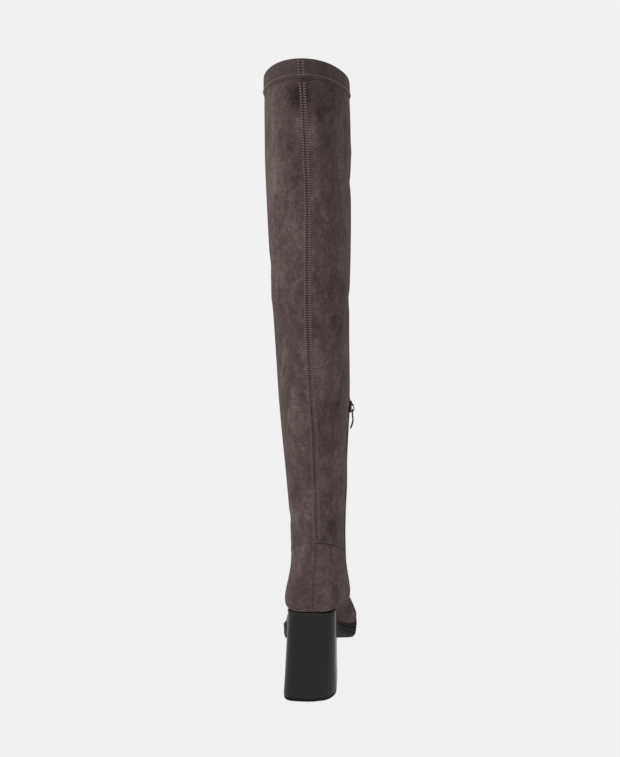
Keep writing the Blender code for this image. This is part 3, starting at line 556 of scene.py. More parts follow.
@dataclass
class ClothPiece:
    """A part of the upper: its solid's wall refined, creased, given its nap tones and painted shade,
    and lined.
    """

    node: str
    name: str
    slot: str
    creases: tuple[Crease, ...] = ()
    levels: int = 2
    weld: float = 2e-6
    join_angles: tuple[float, float] = (0.9, 1.2)
    sharp_angle: float = 0.85
    lining_facing: float = -0.35     # a face that looks further inwards than this is lining
    low_height: float = 0.1          # below it the foot runs forward, away from the back
    back_reach: float = 0.045        # y up to which the back's patches show
    low_reach: float = 0.125
    reach_fade: float = 0.03

    def refined(self) -> Mesh:
        """Makes a finer, rounded copy of the solid's mesh.

        Returns:
            The new mesh.
        """
        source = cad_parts[self.node]
        work = bmesh.new()
        work.from_mesh(source.data)
        bmesh.ops.remove_doubles(work, verts=work.verts, dist=self.weld)
        face_angle, shape_angle = self.join_angles
        bmesh.ops.join_triangles(
            work, faces=work.faces, angle_face_threshold=face_angle, angle_shape_threshold=shape_angle
        )
        kept = work.edges.layers.float.new("crease_edge")
        for edge in work.edges:
            edge.smooth = True
            if len(edge.link_faces) == 2 and edge.calc_face_angle() > self.sharp_angle:
                edge[kept] = 1.0
        coarse = bpy.data.meshes.new(self.name + "_coarse")
        work.to_mesh(coarse)
        work.free()
        holder = add_object(self.name + "_holder", coarse)
        finer = holder.modifiers.new("finer", "SUBSURF")
        finer.levels = finer.render_levels = self.levels
        graph = bpy.context.evaluated_depsgraph_get()
        mesh = bpy.data.meshes.new_from_object(holder.evaluated_get(graph))
        bpy.data.objects.remove(holder)
        mesh.name = self.name
        mesh.materials.clear()
        return mesh

    def shape(self, mesh: Mesh) -> None:
        """Presses the creases into both faces of the wall and moves its sewn edges.

        Args:
            mesh: The refined mesh, changed in place.
        """
        points, normals = rows_of(mesh.vertices, "co"), rows_of(mesh.vertex_normals, "vector")
        out = normals.copy()
        away = points - nearest_on_line(points, INSIDE_LINE)
        out[np.einsum("ij,ij->i", normals, away) < 0.0] *= -1.0
        moved = np.zeros(len(points))
        for crease in self.creases:
            line = np.array(crease.line_mm) * MM
            gap = np.linalg.norm(points - nearest_on_line(points, line), axis=1)
            moved -= crease.depth_mm * MM * np.exp(-((gap / (crease.width_mm * MM)) ** 2))
        moved += self.edge_lift(points)
        points += out * moved[:, None]
        points[:, 2] += self.edge_rise(points)
        mesh.vertices.foreach_set("co", points.ravel())
        mesh.update()

    def edge_lift(self, points: np.ndarray) -> np.ndarray:
        """How far the cloth stands out at its sewn edges; nothing on a plain piece."""
        return np.zeros(len(points))

    def edge_rise(self, points: np.ndarray) -> np.ndarray:
        """How far the cloth runs up into the piece sewn above it; nothing on a plain piece."""
        return np.zeros(len(points))

    def record_nap_and_shade(self, mesh: Mesh) -> None:
        """Stores the nap's tone at each point, with painted shade in the foot's inner lower corner: 0.5
        is plain, less dark and more light.

        Args:
            mesh: The finished mesh.
        """
        points = rows_of(mesh.vertices, "co")
        tone = np.full(len(points), 0.5)
        reach = np.where(points[:, 2] < self.low_height, self.low_reach, self.back_reach)
        back = np.clip((reach - points[:, 1]) / self.reach_fade, 0.0, 1.0)
        # The patches' edges are ragged
        ragged = 0.25 * np.sin(points[:, 0] * 900.0 + points[:, 2] * 500.0)
        for patch in NAP_AND_SHADE_PATCHES:
            across = (points[:, 0] - patch.x) / patch.half_width
            up = (points[:, 2] - patch.z) / patch.half_height
            tone += back * patch.tone * 0.5 * np.exp(-(across ** 2 + up ** 2) * (0.7 + ragged))
        attribute = mesh.attributes.new("nap_tone_and_shade", "FLOAT", "POINT")
        attribute.data.foreach_set("value", tone.astype(np.float32))

    def dress(self, mesh: Mesh, cloth: Material, lining: Material) -> None:
        """Gives the outer face its cloth and the inner face its lining.

        Args:
            mesh: The finished mesh.
            cloth: Material of the outer face and the edges.
            lining: Material of the inner face.
        """
        mesh.materials.append(cloth)
        mesh.materials.append(lining)
        centres = rows_of(mesh.polygons, "center")
        away = centres - nearest_on_line(centres, INSIDE_LINE)
        away /= np.linalg.norm(away, axis=1)[:, None]
        facing = np.einsum("ij,ij->i", rows_of(mesh.polygons, "normal"), away)
        index = np.where(facing < self.lining_facing, Side.INNER.value, Side.OUTER.value)
        mesh.polygons.foreach_set("material_index", index.astype(np.int32))
        mesh.polygons.foreach_set("use_smooth", np.ones(len(centres), bool))

    def build(self, cloth: Material, lining: Material) -> bpy.types.Object:
        """Builds the piece and hides its plain solid.

        Args:
            cloth: Material of the outer face.
            lining: Material of the inner face.

        Returns:
            The new piece.
        """
        mesh = self.refined()
        self.shape(mesh)
        self.record_nap_and_shade(mesh)
        self.dress(mesh, cloth, lining)
        made = link_piece(self.name, mesh)
        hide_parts(self.node)
        LOG.info("%s: %d faces", self.name, len(mesh.polygons))
        return made


def collar_drop(y: float | np.ndarray) -> float | np.ndarray:
    """How much lower the collar is at y than at the back: most midway to the front."""
    share = np.clip((y - COLLAR_BACK_Y) / COLLAR_LENGTH, 0.0, 1.0)
    return COLLAR_DIP * 4.0 * share * (1.0 - share)


def seam_height(y: float | np.ndarray) -> float | np.ndarray:
    """Height of the ankle seam at y: it falls from the back to the front."""
    share = np.clip((y - ANKLE_BACK_Y) / ANKLE_LENGTH, 0.0, 1.0)
    return ANKLE_BACK_HEIGHT - ANKLE_FALL * share


@dataclass
class ShaftCloth(ClothPiece):
    """The leg: folded over the foot at the ankle seam and run up inside the hem."""

    fold_mm: float = 0.45
    fold_height_mm: float = 3.2
    rise_mm: float = 1.4
    rise_from: float = 0.6387
    rise_height: float = 0.004

    def edge_lift(self, points: np.ndarray) -> np.ndarray:
        """Lifts the folded lower edge a little off the foot."""
        above = (points[:, 2] - seam_height(points[:, 1])) / (self.fold_height_mm * MM)
        return self.fold_mm * MM * np.exp(-np.clip(above, 0.0, 9.0) ** 2)

    def edge_rise(self, points: np.ndarray) -> np.ndarray:
        """Runs the top edge up inside the folded hem."""
        low = self.rise_from - collar_drop(points[:, 1])
        return self.rise_mm * MM * np.clip((points[:, 2] - low) / self.rise_height, 0.0, 1.0)


@dataclass
class FootCloth(ClothPiece):
    """Vamp and quarters: drawn in under the ankle seam and run up behind it."""

    tuck_mm: float = 0.35
    tuck_height_mm: float = 3.0
    rise_mm: float = 1.2
    rise_gap_mm: float = 0.5
    rise_height_mm: float = 4.0

    def edge_lift(self, points: np.ndarray) -> np.ndarray:
        """Draws the upper edge in under the fold of the leg."""
        below = (seam_height(points[:, 1]) - points[:, 2]) / (self.tuck_height_mm * MM)
        return -self.tuck_mm * MM * np.exp(-np.clip(below, 0.0, 9.0) ** 2)

    def edge_rise(self, points: np.ndarray) -> np.ndarray:
        """Runs the top edge up behind the leg's folded edge.

        Args:
            points: The mesh's points.

        Returns:
            The upward move of each point.
        """
        below = seam_height(points[:, 1]) - points[:, 2]
        share = 1.0 - (below - self.rise_gap_mm * MM) / (self.rise_height_mm * MM)
        return self.rise_mm * MM * np.clip(share, 0.0, 1.0)


# A stitch, end to end: place by its half length, then width and height by its radius
STITCH_STATIONS = (
    (-1.0, 0.45, -0.4), (-0.7, 1.0, 0.35), (0.0, 1.1, 0.6), (0.7, 1.0, 0.35), (1.0, 0.45, -0.4),
)
STITCH_SIDES = 6

# A cord's section, side to side: place by its half width, then height by its full one
CORD_SECTION = ((-1.0, -0.35), (-0.6, 0.7), (0.0, 1.0), (0.6, 0.7), (1.0, -0.35))


def solid_piece(
    name: str, verts: Sequence[Vector], faces: Sequence[tuple[int, ...]],
    material: Material,
) -> bpy.types.Object:
    """Makes a smooth piece from points and faces.

    Args:
        name: The piece's name.
        verts: Its points, in the row frame.
        faces: Its faces, as numbers of points.
        material: Its material.

    Returns:
        The new piece.
    """
    mesh = bpy.data.meshes.new(name)
    mesh.from_pydata([tuple(v) for v in verts], [], faces)
    mesh.update()
    mesh.shade_smooth()
    mesh.materials.append(material)
    return link_piece(name, mesh)


@dataclass
class StitchRow:
    """A row of thread stitches that lie on the cloth."""

    name: str
    slot: str
    length_mm: float
    thick_mm: float
    sink_mm: float = 0.10

    def stitch(self, step: Step, verts: list[Vector], faces: list[tuple[int, ...]]) -> None:
        """Adds one stitch, an arched bar.

        Args:
            step: Point of the cloth under the stitch, its direction and the outward direction.
            verts: Points so far, added to.
            faces: Faces so far, added to.
        """
        middle, along, out = step
        side = out.cross(along).normalized()
        half = self.length_mm * MM / 2
        radius = self.thick_mm * MM / 2
        base = len(verts)
        for place, wide, high in STITCH_STATIONS:
            centre = middle + along * (half * place) + out * (radius * high - self.sink_mm * MM)
            for k in range(STITCH_SIDES):
                turn = math.tau * k / STITCH_SIDES
                verts.append(centre + (side * math.cos(turn) + out * math.sin(turn)) * radius * wide)
        last = base + (len(STITCH_STATIONS) - 1) * STITCH_SIDES
        for a in range(base, last, STITCH_SIDES):
            b = a + STITCH_SIDES
            for k in range(STITCH_SIDES):
                n = (k + 1) % STITCH_SIDES
                faces.append((a + k, a + n, b + n, b + k))
        faces.append(tuple(base + k for k in reversed(range(STITCH_SIDES))))
        faces.append(tuple(last + k for k in range(STITCH_SIDES)))

    def sew(self, steps: Sequence[Step], thread: Material) -> None:
        """Sews the row as one joined piece.

        Args:
            steps: Middle, direction and outward direction of each stitch.
            thread: Material of the thread.
        """
        verts: list[Vector] = []
        faces: list[tuple[int, ...]] = []
        for step in steps:
            self.stitch(step, verts, faces)
        solid_piece(self.name, verts, faces, thread)
        LOG.info("%s: %d stitches", self.name, len(steps))


@dataclass
class SeamCord:
    """A thin rounded line that lies along the cloth, as a closed seam's ridge or shadow."""

    name: str
    slot: str
    width_mm: float
    height_mm: float

    def lay(self, run: Sequence[Spot], material: Material, closed: bool = False) -> None:
        """Lays the line over a run of surface points.

        Args:
            run: Surface points and their outward directions, in order.
            material: Material of the line.
            closed: True if the last point joins the first.
        """
        count, sides = len(run), len(CORD_SECTION)
        half = self.width_mm * MM / 2
        verts: list[Vector] = []
        for k, (middle, out) in enumerate(run):
            ahead = run[(k + 1) % count][0] if closed or k < count - 1 else middle
            behind = run[k - 1][0] if closed or k > 0 else middle
            side = out.cross((ahead - behind).normalized()).normalized()
            for place, high in CORD_SECTION:
                verts.append(middle + side * (half * place) + out * (self.height_mm * MM * high))
        faces: list[tuple[int, ...]] = []
        for k in range(count if closed else count - 1):
            a, b = k * sides, ((k + 1) % count) * sides
            for c in range(sides):
                n = (c + 1) % sides
                faces.append((a + c, a + n, b + n, b + c))
        if not closed:
            faces.append(tuple(reversed(range(sides))))
            faces.append(tuple((count - 1) * sides + c for c in range(sides)))
        solid_piece(self.name, verts, faces, material)
        LOG.info("%s: laid over %d points", self.name, count)


def spots_met(
    tree: BVHTree, rays: Iterable[tuple[Sequence[float], Vector]], reach: float = 0.3
) -> list[Spot]:
    """Casts rays at a piece and keeps the spots that they meet.

    Args:
        tree: The piece's search tree.
        rays: Start and direction of each ray.
        reach: How far a ray looks, in metres.

    Returns:
        The spots, in the order of the rays.
    """
    found = []
    for start, way in rays:
        hit, out, _, _ = tree.ray_cast(Vector(start), way, reach)
        if hit is not None:
            found.append((hit, out))
    return found


def even_places(points: Sequence[Vector], pitch: float) -> list[tuple[Vector, Vector]]:
    """Walks along a run of points in even steps.

    Args:
        points: The run's points, in order.
        pitch: Length of a step.

    Returns:
        Each step's place and direction.
    """
    line = np.array([tuple(p) for p in points])
    lengths = np.concatenate([[0.0], np.cumsum(np.linalg.norm(np.diff(line, axis=0), axis=1))])
    steps = np.arange(pitch / 2, lengths[-1], pitch)
    walked = np.stack([np.interp(steps, lengths, line[:, k]) for k in range(3)], axis=1)
    ahead = np.stack([np.interp(steps + pitch / 2, lengths, line[:, k]) for k in range(3)], axis=1)
    behind = np.stack([np.interp(steps - pitch / 2, lengths, line[:, k]) for k in range(3)], axis=1)
    return [(Vector(p), (Vector(a) - Vector(b)).normalized()) for p, a, b in zip(walked, ahead, behind)]


def steps_along(run: Sequence[Spot], pitch_mm: float, closed: bool = False) -> list[Step]:
    """Walks along a run of surface points in even steps.

    Args:
        run: Surface points and their outward directions, in order.
        pitch_mm: Length of a step.
        closed: True if the run comes back to its first point.

    Returns:
        Place, direction and outward direction of each step.
    """
    points = [point for point, _ in run]
    flat = np.array([tuple(point) for point in points])
    steps = []
    for middle, along in even_places(points + points[:1] if closed else points, pitch_mm * MM):
        nearest = int(np.argmin(np.linalg.norm(flat - np.array(middle), axis=1)))
        steps.append((middle, along, run[nearest][1]))
    return steps


@dataclass(frozen=True)
class ClothTrees:
    """Search trees of the shaft, the hem band and the foot."""

    leg: BVHTree
    band: BVHTree
    foot: BVHTree


@dataclass(frozen=True)
class SeamStuff:
    """What seams are drawn with: pale thread, cloth-coloured thread that also draws painted highlights,
    cords of painted shade under the stitch rows and along seams, and lines of painted shadow.
    """

    thread: Material
    tonal: Material
    shade_cords: Material
    shadow: Material


@dataclass
class BackSeam:
    """The cover-stitched seam up the back of the leg, with the plain seam of the counter."""

    heights: tuple[float, ...] = (0.184, 0.205, 0.230, 0.300, 0.360, 0.428, 0.533, 0.605, 0.660)
    places: tuple[float, ...] = (0.0096, 0.0094, 0.0092, 0.0083, 0.0058, 0.0040, 0.0053, 0.0030, 0.0002)
    half_gaps_mm: tuple[float, ...] = (3.1, 3.1, 3.1, 3.0, 2.8, 2.5, 2.0, 1.9, 2.2)
    leg_span: tuple[float, float] = (0.1845, 0.6418)
    hem_span: tuple[float, float] = (0.6442, 0.6590)
    pitch_mm: float = 2.4
    stitch_mm: float = 2.2
    thread_mm: float = 1.0
    row_shade_mm: float = 1.7
    line_shift_mm: float = -0.8
    ridge_shift_mm: float = 0.6
    counter_span: tuple[float, float] = (0.112, 0.179)
    counter_heights: tuple[float, ...] = (0.112, 0.135, 0.151, 0.178)
    counter_places: tuple[float, ...] = (0.0046, 0.0050, 0.0062, 0.0080)
    ray_step_mm: float = 1.5
    ray_start_y: float = -0.2

    def seam_x(self, z: float) -> float:
        """The seam's place across the back of the leg at a height."""
        return float(np.interp(z, self.heights, self.places))

    def row_x(self, z: float, side: float) -> float:
        """The place of one of the two stitch rows: side is -1 outside and 1 inside."""
        return self.seam_x(z) + side * float(np.interp(z, self.heights, self.half_gaps_mm)) * MM

    def counter_x(self, z: float) -> float:
        """The counter seam's place across the back of the foot at a height."""
        return float(np.interp(z, self.counter_heights, self.counter_places))

    def run(
        self, tree: BVHTree, span: tuple[float, float], across: Callable[[float], float]
    ) -> list[Spot]:
        """Finds surface points up the back.

        Args:
            tree: The cloth's search tree.
            span: Lowest and highest height.
            across: The line's x at a height.

        Returns:
            Points of the cloth and their outward directions.
        """
        heights = np.arange(span[0], span[1], self.ray_step_mm * MM)
        return spots_met(tree, [((across(z), self.ray_start_y, z), TO_FRONT) for z in heights])

    def build(self, cloth: ClothTrees, stuff: SeamStuff) -> None:
        """Builds the seam's stitch rows over cords of painted shade, its dark line of painted shadow,
        its raised edge in a lighter colour that partly paints its highlight, and the counter's line of
        painted shade.

        Args:
            cloth: Search trees of the upper's parts.
            stuff: What the seams are drawn with.
        """
        parts = (("leg", cloth.leg, self.leg_span), ("hem", cloth.band, self.hem_span))
        steps = []
        for part, tree, span in parts:
            for side, which in ((-1.0, "outer"), (1.0, "inner")):
                run = self.run(tree, span, lambda z, s=side: self.row_x(z, s))
                # Under each stitch row a darker cord: painted shade, so the gaps between stitches read
                # dark
                cord = SeamCord(f"needle_row_shade_{part}_{which}", "suede", self.row_shade_mm, 0.05)
                cord.lay(run, stuff.shade_cords)
                for middle, along, out in steps_along(run, self.pitch_mm):
                    steps.append((middle, out.cross(along).normalized(), out))
        row = StitchRow("back_seam_stitches", "suede", self.stitch_mm, self.thread_mm)
        row.sew(steps, stuff.thread)
        for part, tree, span in parts:
            dark = self.run(tree, span, lambda z: self.seam_x(z) + self.line_shift_mm * MM)
            SeamCord(f"back_seam_line_{part}", "suede", 0.9, 0.12).lay(dark, stuff.shadow)
            # The raised edge is drawn in the lighter tonal colour: partly a real ridge, partly a
            # painted highlight
            light = self.run(tree, span, lambda z: self.seam_x(z) + self.ridge_shift_mm * MM)
            SeamCord(f"back_seam_ridge_highlight_{part}", "suede", 1.1, 0.22).lay(light, stuff.tonal)
        # The counter's seam line is a dark cord of painted shade
        counter = self.run(cloth.foot, self.counter_span, self.counter_x)
        SeamCord("counter_seam_line", "suede", 0.8, 0.14).lay(counter, stuff.shade_cords)


@dataclass
class RoundSeams:
    """The hem's row over a cord of painted shade, and the ankle's top-stitch, with the painted shadow
    line under the ankle's fold.
    """

    hem_drop_mm: float = 14.0
    hem_pitch_mm: float = 2.4
    hem_stitch_mm: float = 1.25
    hem_thread_mm: float = 1.0
    hem_middle: tuple[float, float] = (0.001, 0.053)
    ankle_rise_mm: float = 2.2
    ankle_pitch_mm: float = 2.6
    ankle_stitch_mm: float = 1.9
    ankle_thread_mm: float = 0.45
    ankle_middle: tuple[float, float] = (0.008, 0.030)
    edge_rise_mm: float = 0.8
    shadow_drop_mm: float = 1.6
    shadow_proud_mm: float = 0.1
    shadow_from_x: float = 0.009
    shadow_to_y: float = 0.020
    rays: int = 360
    ray_start: float = 0.25
    first_reach: float = 0.075

    def ring(
        self, tree: BVHTree, height_at: Callable[[float], float], middle: tuple[float, float]
    ) -> list[Spot]:
        """Finds surface points around the boot.

        Args:
            tree: The cloth's search tree.
            height_at: Height of the line at y.
            middle: The x and y that the rays look towards.

        Returns:
            Points of the cloth and their outward directions.
        """
        found = []
        for k in range(self.rays):
            turn = math.tau * k / self.rays
            way = Vector((-math.cos(turn), -math.sin(turn), 0.0))
            z = height_at(middle[1] - way.y * self.first_reach)
            for _ in range(5):          # the line's height depends on the y that is met
                met = spots_met(tree, [(Vector((*middle, z)) - way * self.ray_start, way)])
                if not met:
                    break
                z = height_at(met[0][0].y)
            found += met
        return found

    def ankle_ring(self, leg: BVHTree, rise_mm: float) -> list[Spot]:
        """Finds surface points around the leg at a height over the ankle seam."""
        return self.ring(leg, lambda y: float(seam_height(y)) + rise_mm * MM, self.ankle_middle)

    def hem_height(self, y: float) -> float:
        """Height of the hem's row at y."""
        return BOOT_HEIGHT - self.hem_drop_mm * MM - float(collar_drop(y))

    def build(self, cloth: ClothTrees, stuff: SeamStuff) -> None:
        """Builds both rows, the painted shade under the hem's row and the painted shadow line under the
        ankle's folded edge.

        Args:
            cloth: Search trees of the upper's parts.
            stuff: What the seams are drawn with.
        """
        hem = self.ring(cloth.band, self.hem_height, self.hem_middle)
        # Under the hem's row a darker cord: painted shade
        SeamCord("hem_row_shade", "suede_hem", 1.5, 0.04).lay(hem, stuff.shade_cords, closed=True)
        row = StitchRow("hem_stitches", "suede_hem", self.hem_stitch_mm, self.hem_thread_mm)
        row.sew(steps_along(hem, self.hem_pitch_mm, closed=True), stuff.thread)
        ankle = self.ankle_ring(cloth.leg, self.ankle_rise_mm)
        row = StitchRow("ankle_seam_stitches", "suede", self.ankle_stitch_mm, self.ankle_thread_mm)
        row.sew(steps_along(ankle, self.ankle_pitch_mm, closed=True), stuff.tonal)
        down = Vector((0.0, 0.0, self.shadow_drop_mm * MM))
        inner_back = [
            (hit - down + out * (self.shadow_proud_mm * MM), out)
            for hit, out in self.ankle_ring(cloth.leg, self.edge_rise_mm)
            if hit.x > self.shadow_from_x and hit.y < self.shadow_to_y
        ]
        SeamCord("ankle_seam_shadow", "suede", 1.2, 0.16).lay(inner_back, stuff.shadow)


@dataclass
class SeatRim:
    """The heel's lacquered covering where it laps the sole's edge, and a pale line along the edge that
    paints its highlight.
    """

    lap_height: float = 0.1042
    lap_width_mm: float = 3.1
    lap_from_deg: float = 220.0
    lap_to_deg: float = 321.0
    lap_step_deg: float = 1.5
    proud_mm: float = 1.3
    line_height: float = 0.1054
    line_from: float = -0.0185
    line_to: float = 0.0135
    middle: tuple[float, float] = (0.0030, 0.0050)
    ray_start: float = 0.2

    def lap_run(self, tree: BVHTree) -> list[Spot]:
        """Finds points of the sole's edge around the back of the seat.

        Args:
            tree: The sole's search tree.

        Returns:
            Points of the edge and their outward directions.
        """
        found = []
        for turn in np.radians(np.arange(self.lap_from_deg, self.lap_to_deg, self.lap_step_deg)):
            way = Vector((-math.cos(turn), -math.sin(turn), 0.0))
            start = Vector((*self.middle, self.lap_height)) - way * self.ray_start
            for hit, _ in spots_met(tree, [(start, way)], self.ray_start):
                found.append((hit - way * (self.proud_mm * MM), -way))
        return found

    def line_run(self, tree: BVHTree) -> list[Spot]:
        """Finds points of the sole's edge straight across the back.

        Args:
            tree: The sole's search tree.

        Returns:
            Points of the edge and their outward directions.
        """
        rays = [
            ((x, -self.ray_start, self.line_height), TO_FRONT)
            for x in np.arange(self.line_from, self.line_to, 1.0 * MM)
        ]
        return [(hit - TO_FRONT * (self.proud_mm * MM), -TO_FRONT) for hit, _ in spots_met(tree, rays)]

    def build(self, sole: BVHTree, lacquer: Material, pale: Material) -> None:
        """Lays the lap and the line of painted highlight.

        Args:
            sole: The sole's search tree.
            lacquer: The heel's lacquer.
            pale: Material of the line, which paints the edge's highlight.
        """
        SeamCord("seat_lap", "heel_lacquer", self.lap_width_mm, 0.25).lay(self.lap_run(sole), lacquer)
        # A pale cord along the sole's edge over the heel: a painted highlight
        SeamCord("seat_highlight_line", "heel_lacquer", 0.6, 0.30).lay(self.line_run(sole), pale)


@dataclass
class ZipCoil:
    """The closed coil of the zip, turn by turn, over the CAD strip."""

    pitch_mm: float = 1.3
    turn_length_mm: float = 2.6
    turn_thick_mm: float = 0.62
    side_shift_mm: float = 0.7
    lean: float = 0.12
    level_step_mm: float = 1.5
    ray_step_mm: float = 0.25
    ray_start_x: float = 0.12
    fewest_hits: int = 5

    def middle_line(self, tree: BVHTree) -> list[Vector]:
        """Finds the strip's middle, level by level.

        Args:
            tree: The strip's search tree.

        Returns:
            Points of its outer face, from its lower end up.
        """
        low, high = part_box("zip")
        middles = []
        step = self.level_step_mm * MM
        for z in np.arange(low.z + step, high.z - MM, step):
            across = np.arange(low.y - MM, high.y + MM, self.ray_step_mm * MM)
            rays = [((self.ray_start_x, y, z), TO_OUTER_SIDE) for y in across]
            hits = spots_met(tree, rays, self.ray_start_x)
            if len(hits) >= self.fewest_hits:
                middle = sum(hit.y for hit, _ in hits) / len(hits)
                ray = ((self.ray_start_x, middle, z), TO_OUTER_SIDE)
                middles += [hit for hit, _ in spots_met(tree, [ray], self.ray_start_x)]
        return middles

    def build(self, plastic: Material) -> None:
        """Builds both sides of the coil as one joined piece.

        Args:
            plastic: Material of the coil.
        """
        tree = tree_of(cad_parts["zip"])
        steps = []
        for k, (middle, along) in enumerate(even_places(self.middle_line(tree), self.pitch_mm * MM)):
            side = 1.0 if k % 2 else -1.0
            ray = (middle + Vector((0.05, 0.0, 0.0)), TO_OUTER_SIDE)
            for _, out in spots_met(tree, [ray], 0.2):
                across = out.cross(along).normalized()
                lean = (across + along * self.lean * side).normalized()
                steps.append((middle + across * (side * self.side_shift_mm * MM), lean, out))
        row = StitchRow("zip_coil", "zip_tape", self.turn_length_mm, self.turn_thick_mm, 0.0)
        row.sew(steps, plastic)


@dataclass(frozen=True)
class SoftBox:
    """A square soft box: its name, its place, the side of its face and its power in watts."""

    name: str
    place: Point
    size: float
    power: float


SOFT_BOXES = (
    SoftBox("left_soft_box", (-1.9, -1.0, 1.3), 1.6, 15.0),
    SoftBox("right_soft_box", (1.8, -1.3, 1.2), 1.2, 1.4),
    SoftBox("top_soft_box", (0.0, -0.2, 2.4), 1.6, 4.0),
)


@dataclass
class Studio:
    """Pale floor, soft light and the camera at the photo's place."""

    floor_half: float = 40.0
    pale: str = "#f1f1f1"
    near_glow: float = 0.99
    near: float = 0.25               # the floor is a little darker up to here
    far: float = 1.6                 # and has its full glow from here
    bounce: float = 0.72
    room_light: float = 0.19
    camera_place: Point = (0.0534, -0.7550, 0.5093)
    camera_pitch: float = 11.556
    focal_px: float = 748.7
    sensor_mm: float = 36.0
    picture: tuple[int, int] = (620, 757)
    boot_middle_px: float = 261.5
    aim: Point = (0.0, 0.05, 0.33)

    def camera(self) -> None:
        """Sets the camera at the photo's viewing angle, framed on the one boot."""
        data = bpy.data.cameras.new("photo_camera")
        data.sensor_fit = "AUTO"
        data.sensor_width = self.sensor_mm
        data.lens = self.sensor_mm * self.focal_px / max(self.picture)
        data.shift_x = (self.boot_middle_px - self.picture[0] / 2) / max(self.picture)
        data.clip_start = 0.01
        made = add_object("photo_camera", data)
        made.location = self.camera_place
        made.rotation_euler = (math.radians(90.0 - self.camera_pitch), 0.0, 0.0)
        bpy.context.scene.camera = made

    def floor(self) -> None:
        """Lays the pale floor; it glows a little, as a lit studio sweep does."""
        look = Look("pale_studio_floor", {
            "Base Color": linear("#f4f4f4"), "Roughness": 0.95, "Specular IOR Level": 0.0,
        })
        plain = look.shader.outputs[0]
        length = add_node(look.tree, "VectorMath", {"operation": "LENGTH"}, {0: look.place})
        share = look.add("MapRange", {
            "From Min": self.near, "From Max": self.far, "To Min": self.near_glow, "To Max": 1.0,
            "interpolation_type": "SMOOTHSTEP",
        }, {"Value": length.outputs["Value"]})
        glow = look.add("Emission", {"Color": linear(self.pale), "Strength": 1.0})
        seen_mix = look.add("MixShader", {}, {"Fac": share, 1: plain, 2: glow})
        dim = look.add("Emission", {"Color": linear(self.pale), "Strength": self.bounce})
        lit_mix = look.add("MixShader", {"Fac": 0.5}, {1: plain, 2: dim})
        seen = add_node(look.tree, "LightPath").outputs["Is Camera Ray"]
        mixed = look.add("MixShader", {}, {"Fac": seen, 1: lit_mix, 2: seen_mix})
        look.tree.links.new(mixed, look.tree.nodes["Material Output"].inputs["Surface"])
        half = self.floor_half
        mesh = bpy.data.meshes.new("studio_floor")
        mesh.from_pydata(
            [(-half, -half, 0.0), (half, -half, 0.0), (half, half, 0.0), (-half, half, 0.0)],
            [], [(0, 1, 2, 3)],
        )
        mesh.materials.append(look.material)
        made = add_object("studio_floor", mesh)

    def world(self) -> None:
        """Fills the room with even pale light."""
        world = bpy.data.worlds.new("pale_room")
        bpy.context.scene.world = world
        world.use_nodes = True
        tree = world.node_tree
        shown = tree.nodes["Background"]
        shown.inputs["Color"].default_value = linear(self.pale)
        shown.inputs["Strength"].default_value = 1.0
        light = add_node(tree, "Background", {"Color": linear("#ffffff"), "Strength": self.room_light})
        seen = add_node(tree, "LightPath")
        mixed = add_node(tree, "MixShader", {}, {
            0: seen.outputs["Is Camera Ray"], 1: light.outputs[0], 2: shown.outputs[0],
        })
        tree.links.new(mixed.outputs[0], tree.nodes["World Output"].inputs["Surface"])

    def lamp(self, box: SoftBox) -> None:
        """Adds one soft box, turned to the boot.

        Args:
            box: What it is and where it stands.
        """
        data = bpy.data.lights.new(box.name, "AREA")
        data.size = box.size
        data.energy = box.power
        made = add_object(box.name, data)
        made.location = box.place
        made.rotation_mode = "QUATERNION"
        made.rotation_quaternion = (Vector(self.aim) - Vector(box.place)).to_track_quat("-Z", "Y")

    def build(self) -> None:
        """Builds the whole studio."""
        bpy.context.scene.view_settings.view_transform = "Standard"
        self.camera()
        self.floor()
        self.world()
        for box in SOFT_BOXES:
            self.lamp(box)
        LOG.info("studio ready")


LEG_CREASES: tuple[Crease, ...] = (
    Crease(((46, 30, 560), (43, 60, 548), (36, 88, 552)), 9.0, 1.4),
    Crease(((45, 24, 590), (44, 52, 583)), 7.0, -0.7),
    Crease(((-42, 20, 470), (-38, 60, 462), (-20, 95, 466)), 8.0, 1.3),
    Crease(((-36, 12, 440), (-37, 52, 428)), 8.0, -0.8),
    Crease(((44, 24, 436), (42, 52, 428), (30, 78, 433)), 7.0, 1.2),
    Crease(((-8, -29, 418), (12, -29, 412), (34, -10, 404)), 8.0, 0.6),
    Crease(((-26, -14, 300), (-5, -20, 294), (15, -20, 298)), 8.0, 0.4),
    Crease(((10, 88, 300), (-15, 80, 292), (-28, 40, 300)), 7.0, 1.8),
    Crease(((5, 84, 236), (25, 70, 228), (36, 50, 236)), 6.0, 2.2),
    Crease(((5, 83, 222), (-14, 70, 214), (-24, 48, 222)), 6.0, 2.1),
    Crease(((6, 80, 206), (26, 62, 196), (37, 44, 206)), 5.0, -1.8),
    Crease(((24, 2, 208), (34, 18, 200)), 5.0, 1.0),
    Crease(((-14, -10, 206), (-22, 16, 196), (-24, 40, 190)), 6.0, 1.0),
)

FOOT_CREASES: tuple[Crease, ...] = (
    Crease(((30, 68, 108), (10, 78, 104), (-14, 66, 108)), 5.0, 1.9),
    Crease(((36, 70, 92), (12, 88, 90), (-18, 76, 92)), 5.0, -1.4),
    Crease(((44, 76, 70), (22, 96, 74), (4, 100, 78)), 5.0, 1.4),
    Crease(((46, 92, 52), (30, 108, 60), (12, 112, 66)), 5.0, 1.1),
    Crease(((-28, 96, 48), (-14, 112, 58), (2, 114, 64)), 5.0, 1.0),
    Crease(((40, 48, 120), (42, 52, 96), (44, 60, 76)), 4.0, 1.1),
)


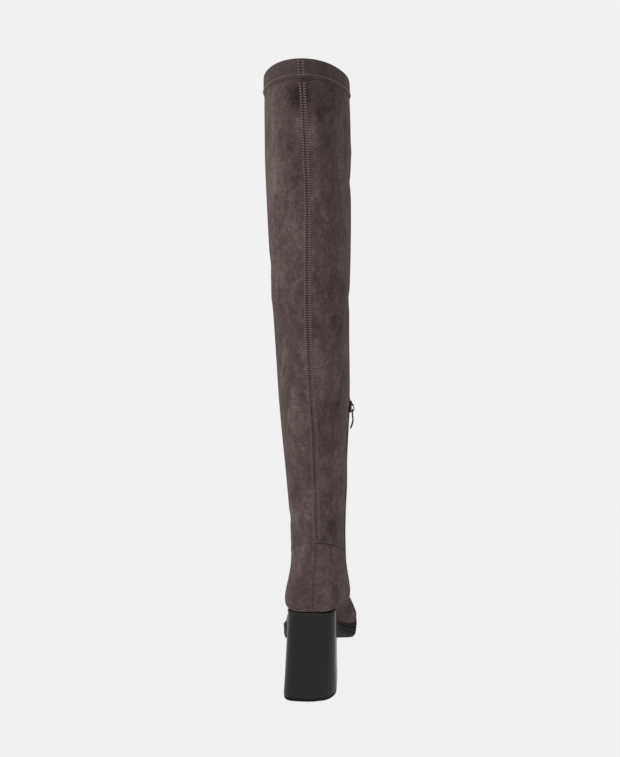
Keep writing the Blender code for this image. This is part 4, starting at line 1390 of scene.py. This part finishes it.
def main() -> None:
    """Builds the boot's dressed pieces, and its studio."""
    logging.basicConfig(level=logging.INFO, format="%(name)s: %(message)s")
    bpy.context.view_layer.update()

    suede = BrushedSuede("brushed_microfibre_suede", "#463b3a", "#726260", "#9e8c8a").build()
    hem_suede = BrushedSuede("folded_hem_suede", "#4d4241", "#665957", "#847674", mottle=0.7).build()
    lining = TRICOT_LINING.build()
    # The sole's last colour is a painted reflection on its edge over the heel
    sole = MouldedRubber("moulded_sole_rubber", "#0e0e0e", "#151414", 0.46, "#353232").build()
    rim = MouldedRubber("moulded_rim_rubber", "#0c0c0c", "#131212", 0.40).build()
    lift = MouldedRubber("hard_heel_rubber", "#101010", "#191919", 0.50).build()
    lacquer = HEEL_LACQUER.build()
    thread = thread_finish("twisted_polyester_thread", "#b7a09c", "#94807c").build()
    # The tonal thread's colour also paints highlights: on the back seam's raised edge and along the
    # sole's edge over the heel
    tonal = thread_finish("tonal_thread_and_painted_highlight", "#7c6a67", "#574846").build()
    shadow = thread_finish("closed_seam_shadow", "#362826", "#2b1e1c").build()
    # Painted shade for the cords under stitch rows and along the counter's seam
    shade_cords = thread_finish("painted_seam_shade", "#4d3e3c", "#3f3230", 1.2).build()
    tape = WOVEN_TAPE.build()
    coil = thread_finish("extruded_nylon_coil", "#4b4241", "#332b2b", 1.4).build()
    metal = PLATED_ZINC.build()
    sock = SOCK_LEATHER.build()

    plain = {
        "outsole": sole, "welt": rim, "heel_block": lacquer, "heel_top_piece": lift,
        "insole": sock, "zip": tape, "zip_slider": metal, "pull_tab": metal,
    }
    for name, material in plain.items():
        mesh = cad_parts[name].data
        mesh.materials.clear()
        mesh.materials.append(material)
        LOG.info("%s: dressed in %s", name, material.name)

    leg = ShaftCloth("shaft", "shaft_cloth", "suede", LEG_CREASES).build(suede, lining)
    foot = FootCloth("foot_upper", "foot_cloth", "suede", FOOT_CREASES).build(suede, lining)
    band = ClothPiece("collar_band", "collar_hem", "suede_hem").build(hem_suede, lining)
    cloth = ClothTrees(tree_of(leg), tree_of(band), tree_of(foot))
    stuff = SeamStuff(thread, tonal, shade_cords, shadow)
    BackSeam().build(cloth, stuff)
    RoundSeams().build(cloth, stuff)
    SeatRim().build(tree_of(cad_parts["outsole"]), lacquer, tonal)
    ZipCoil().build(coil)
    Studio().build()

    bpy.context.view_layer.update()


if __name__ == "__main__":
    main()
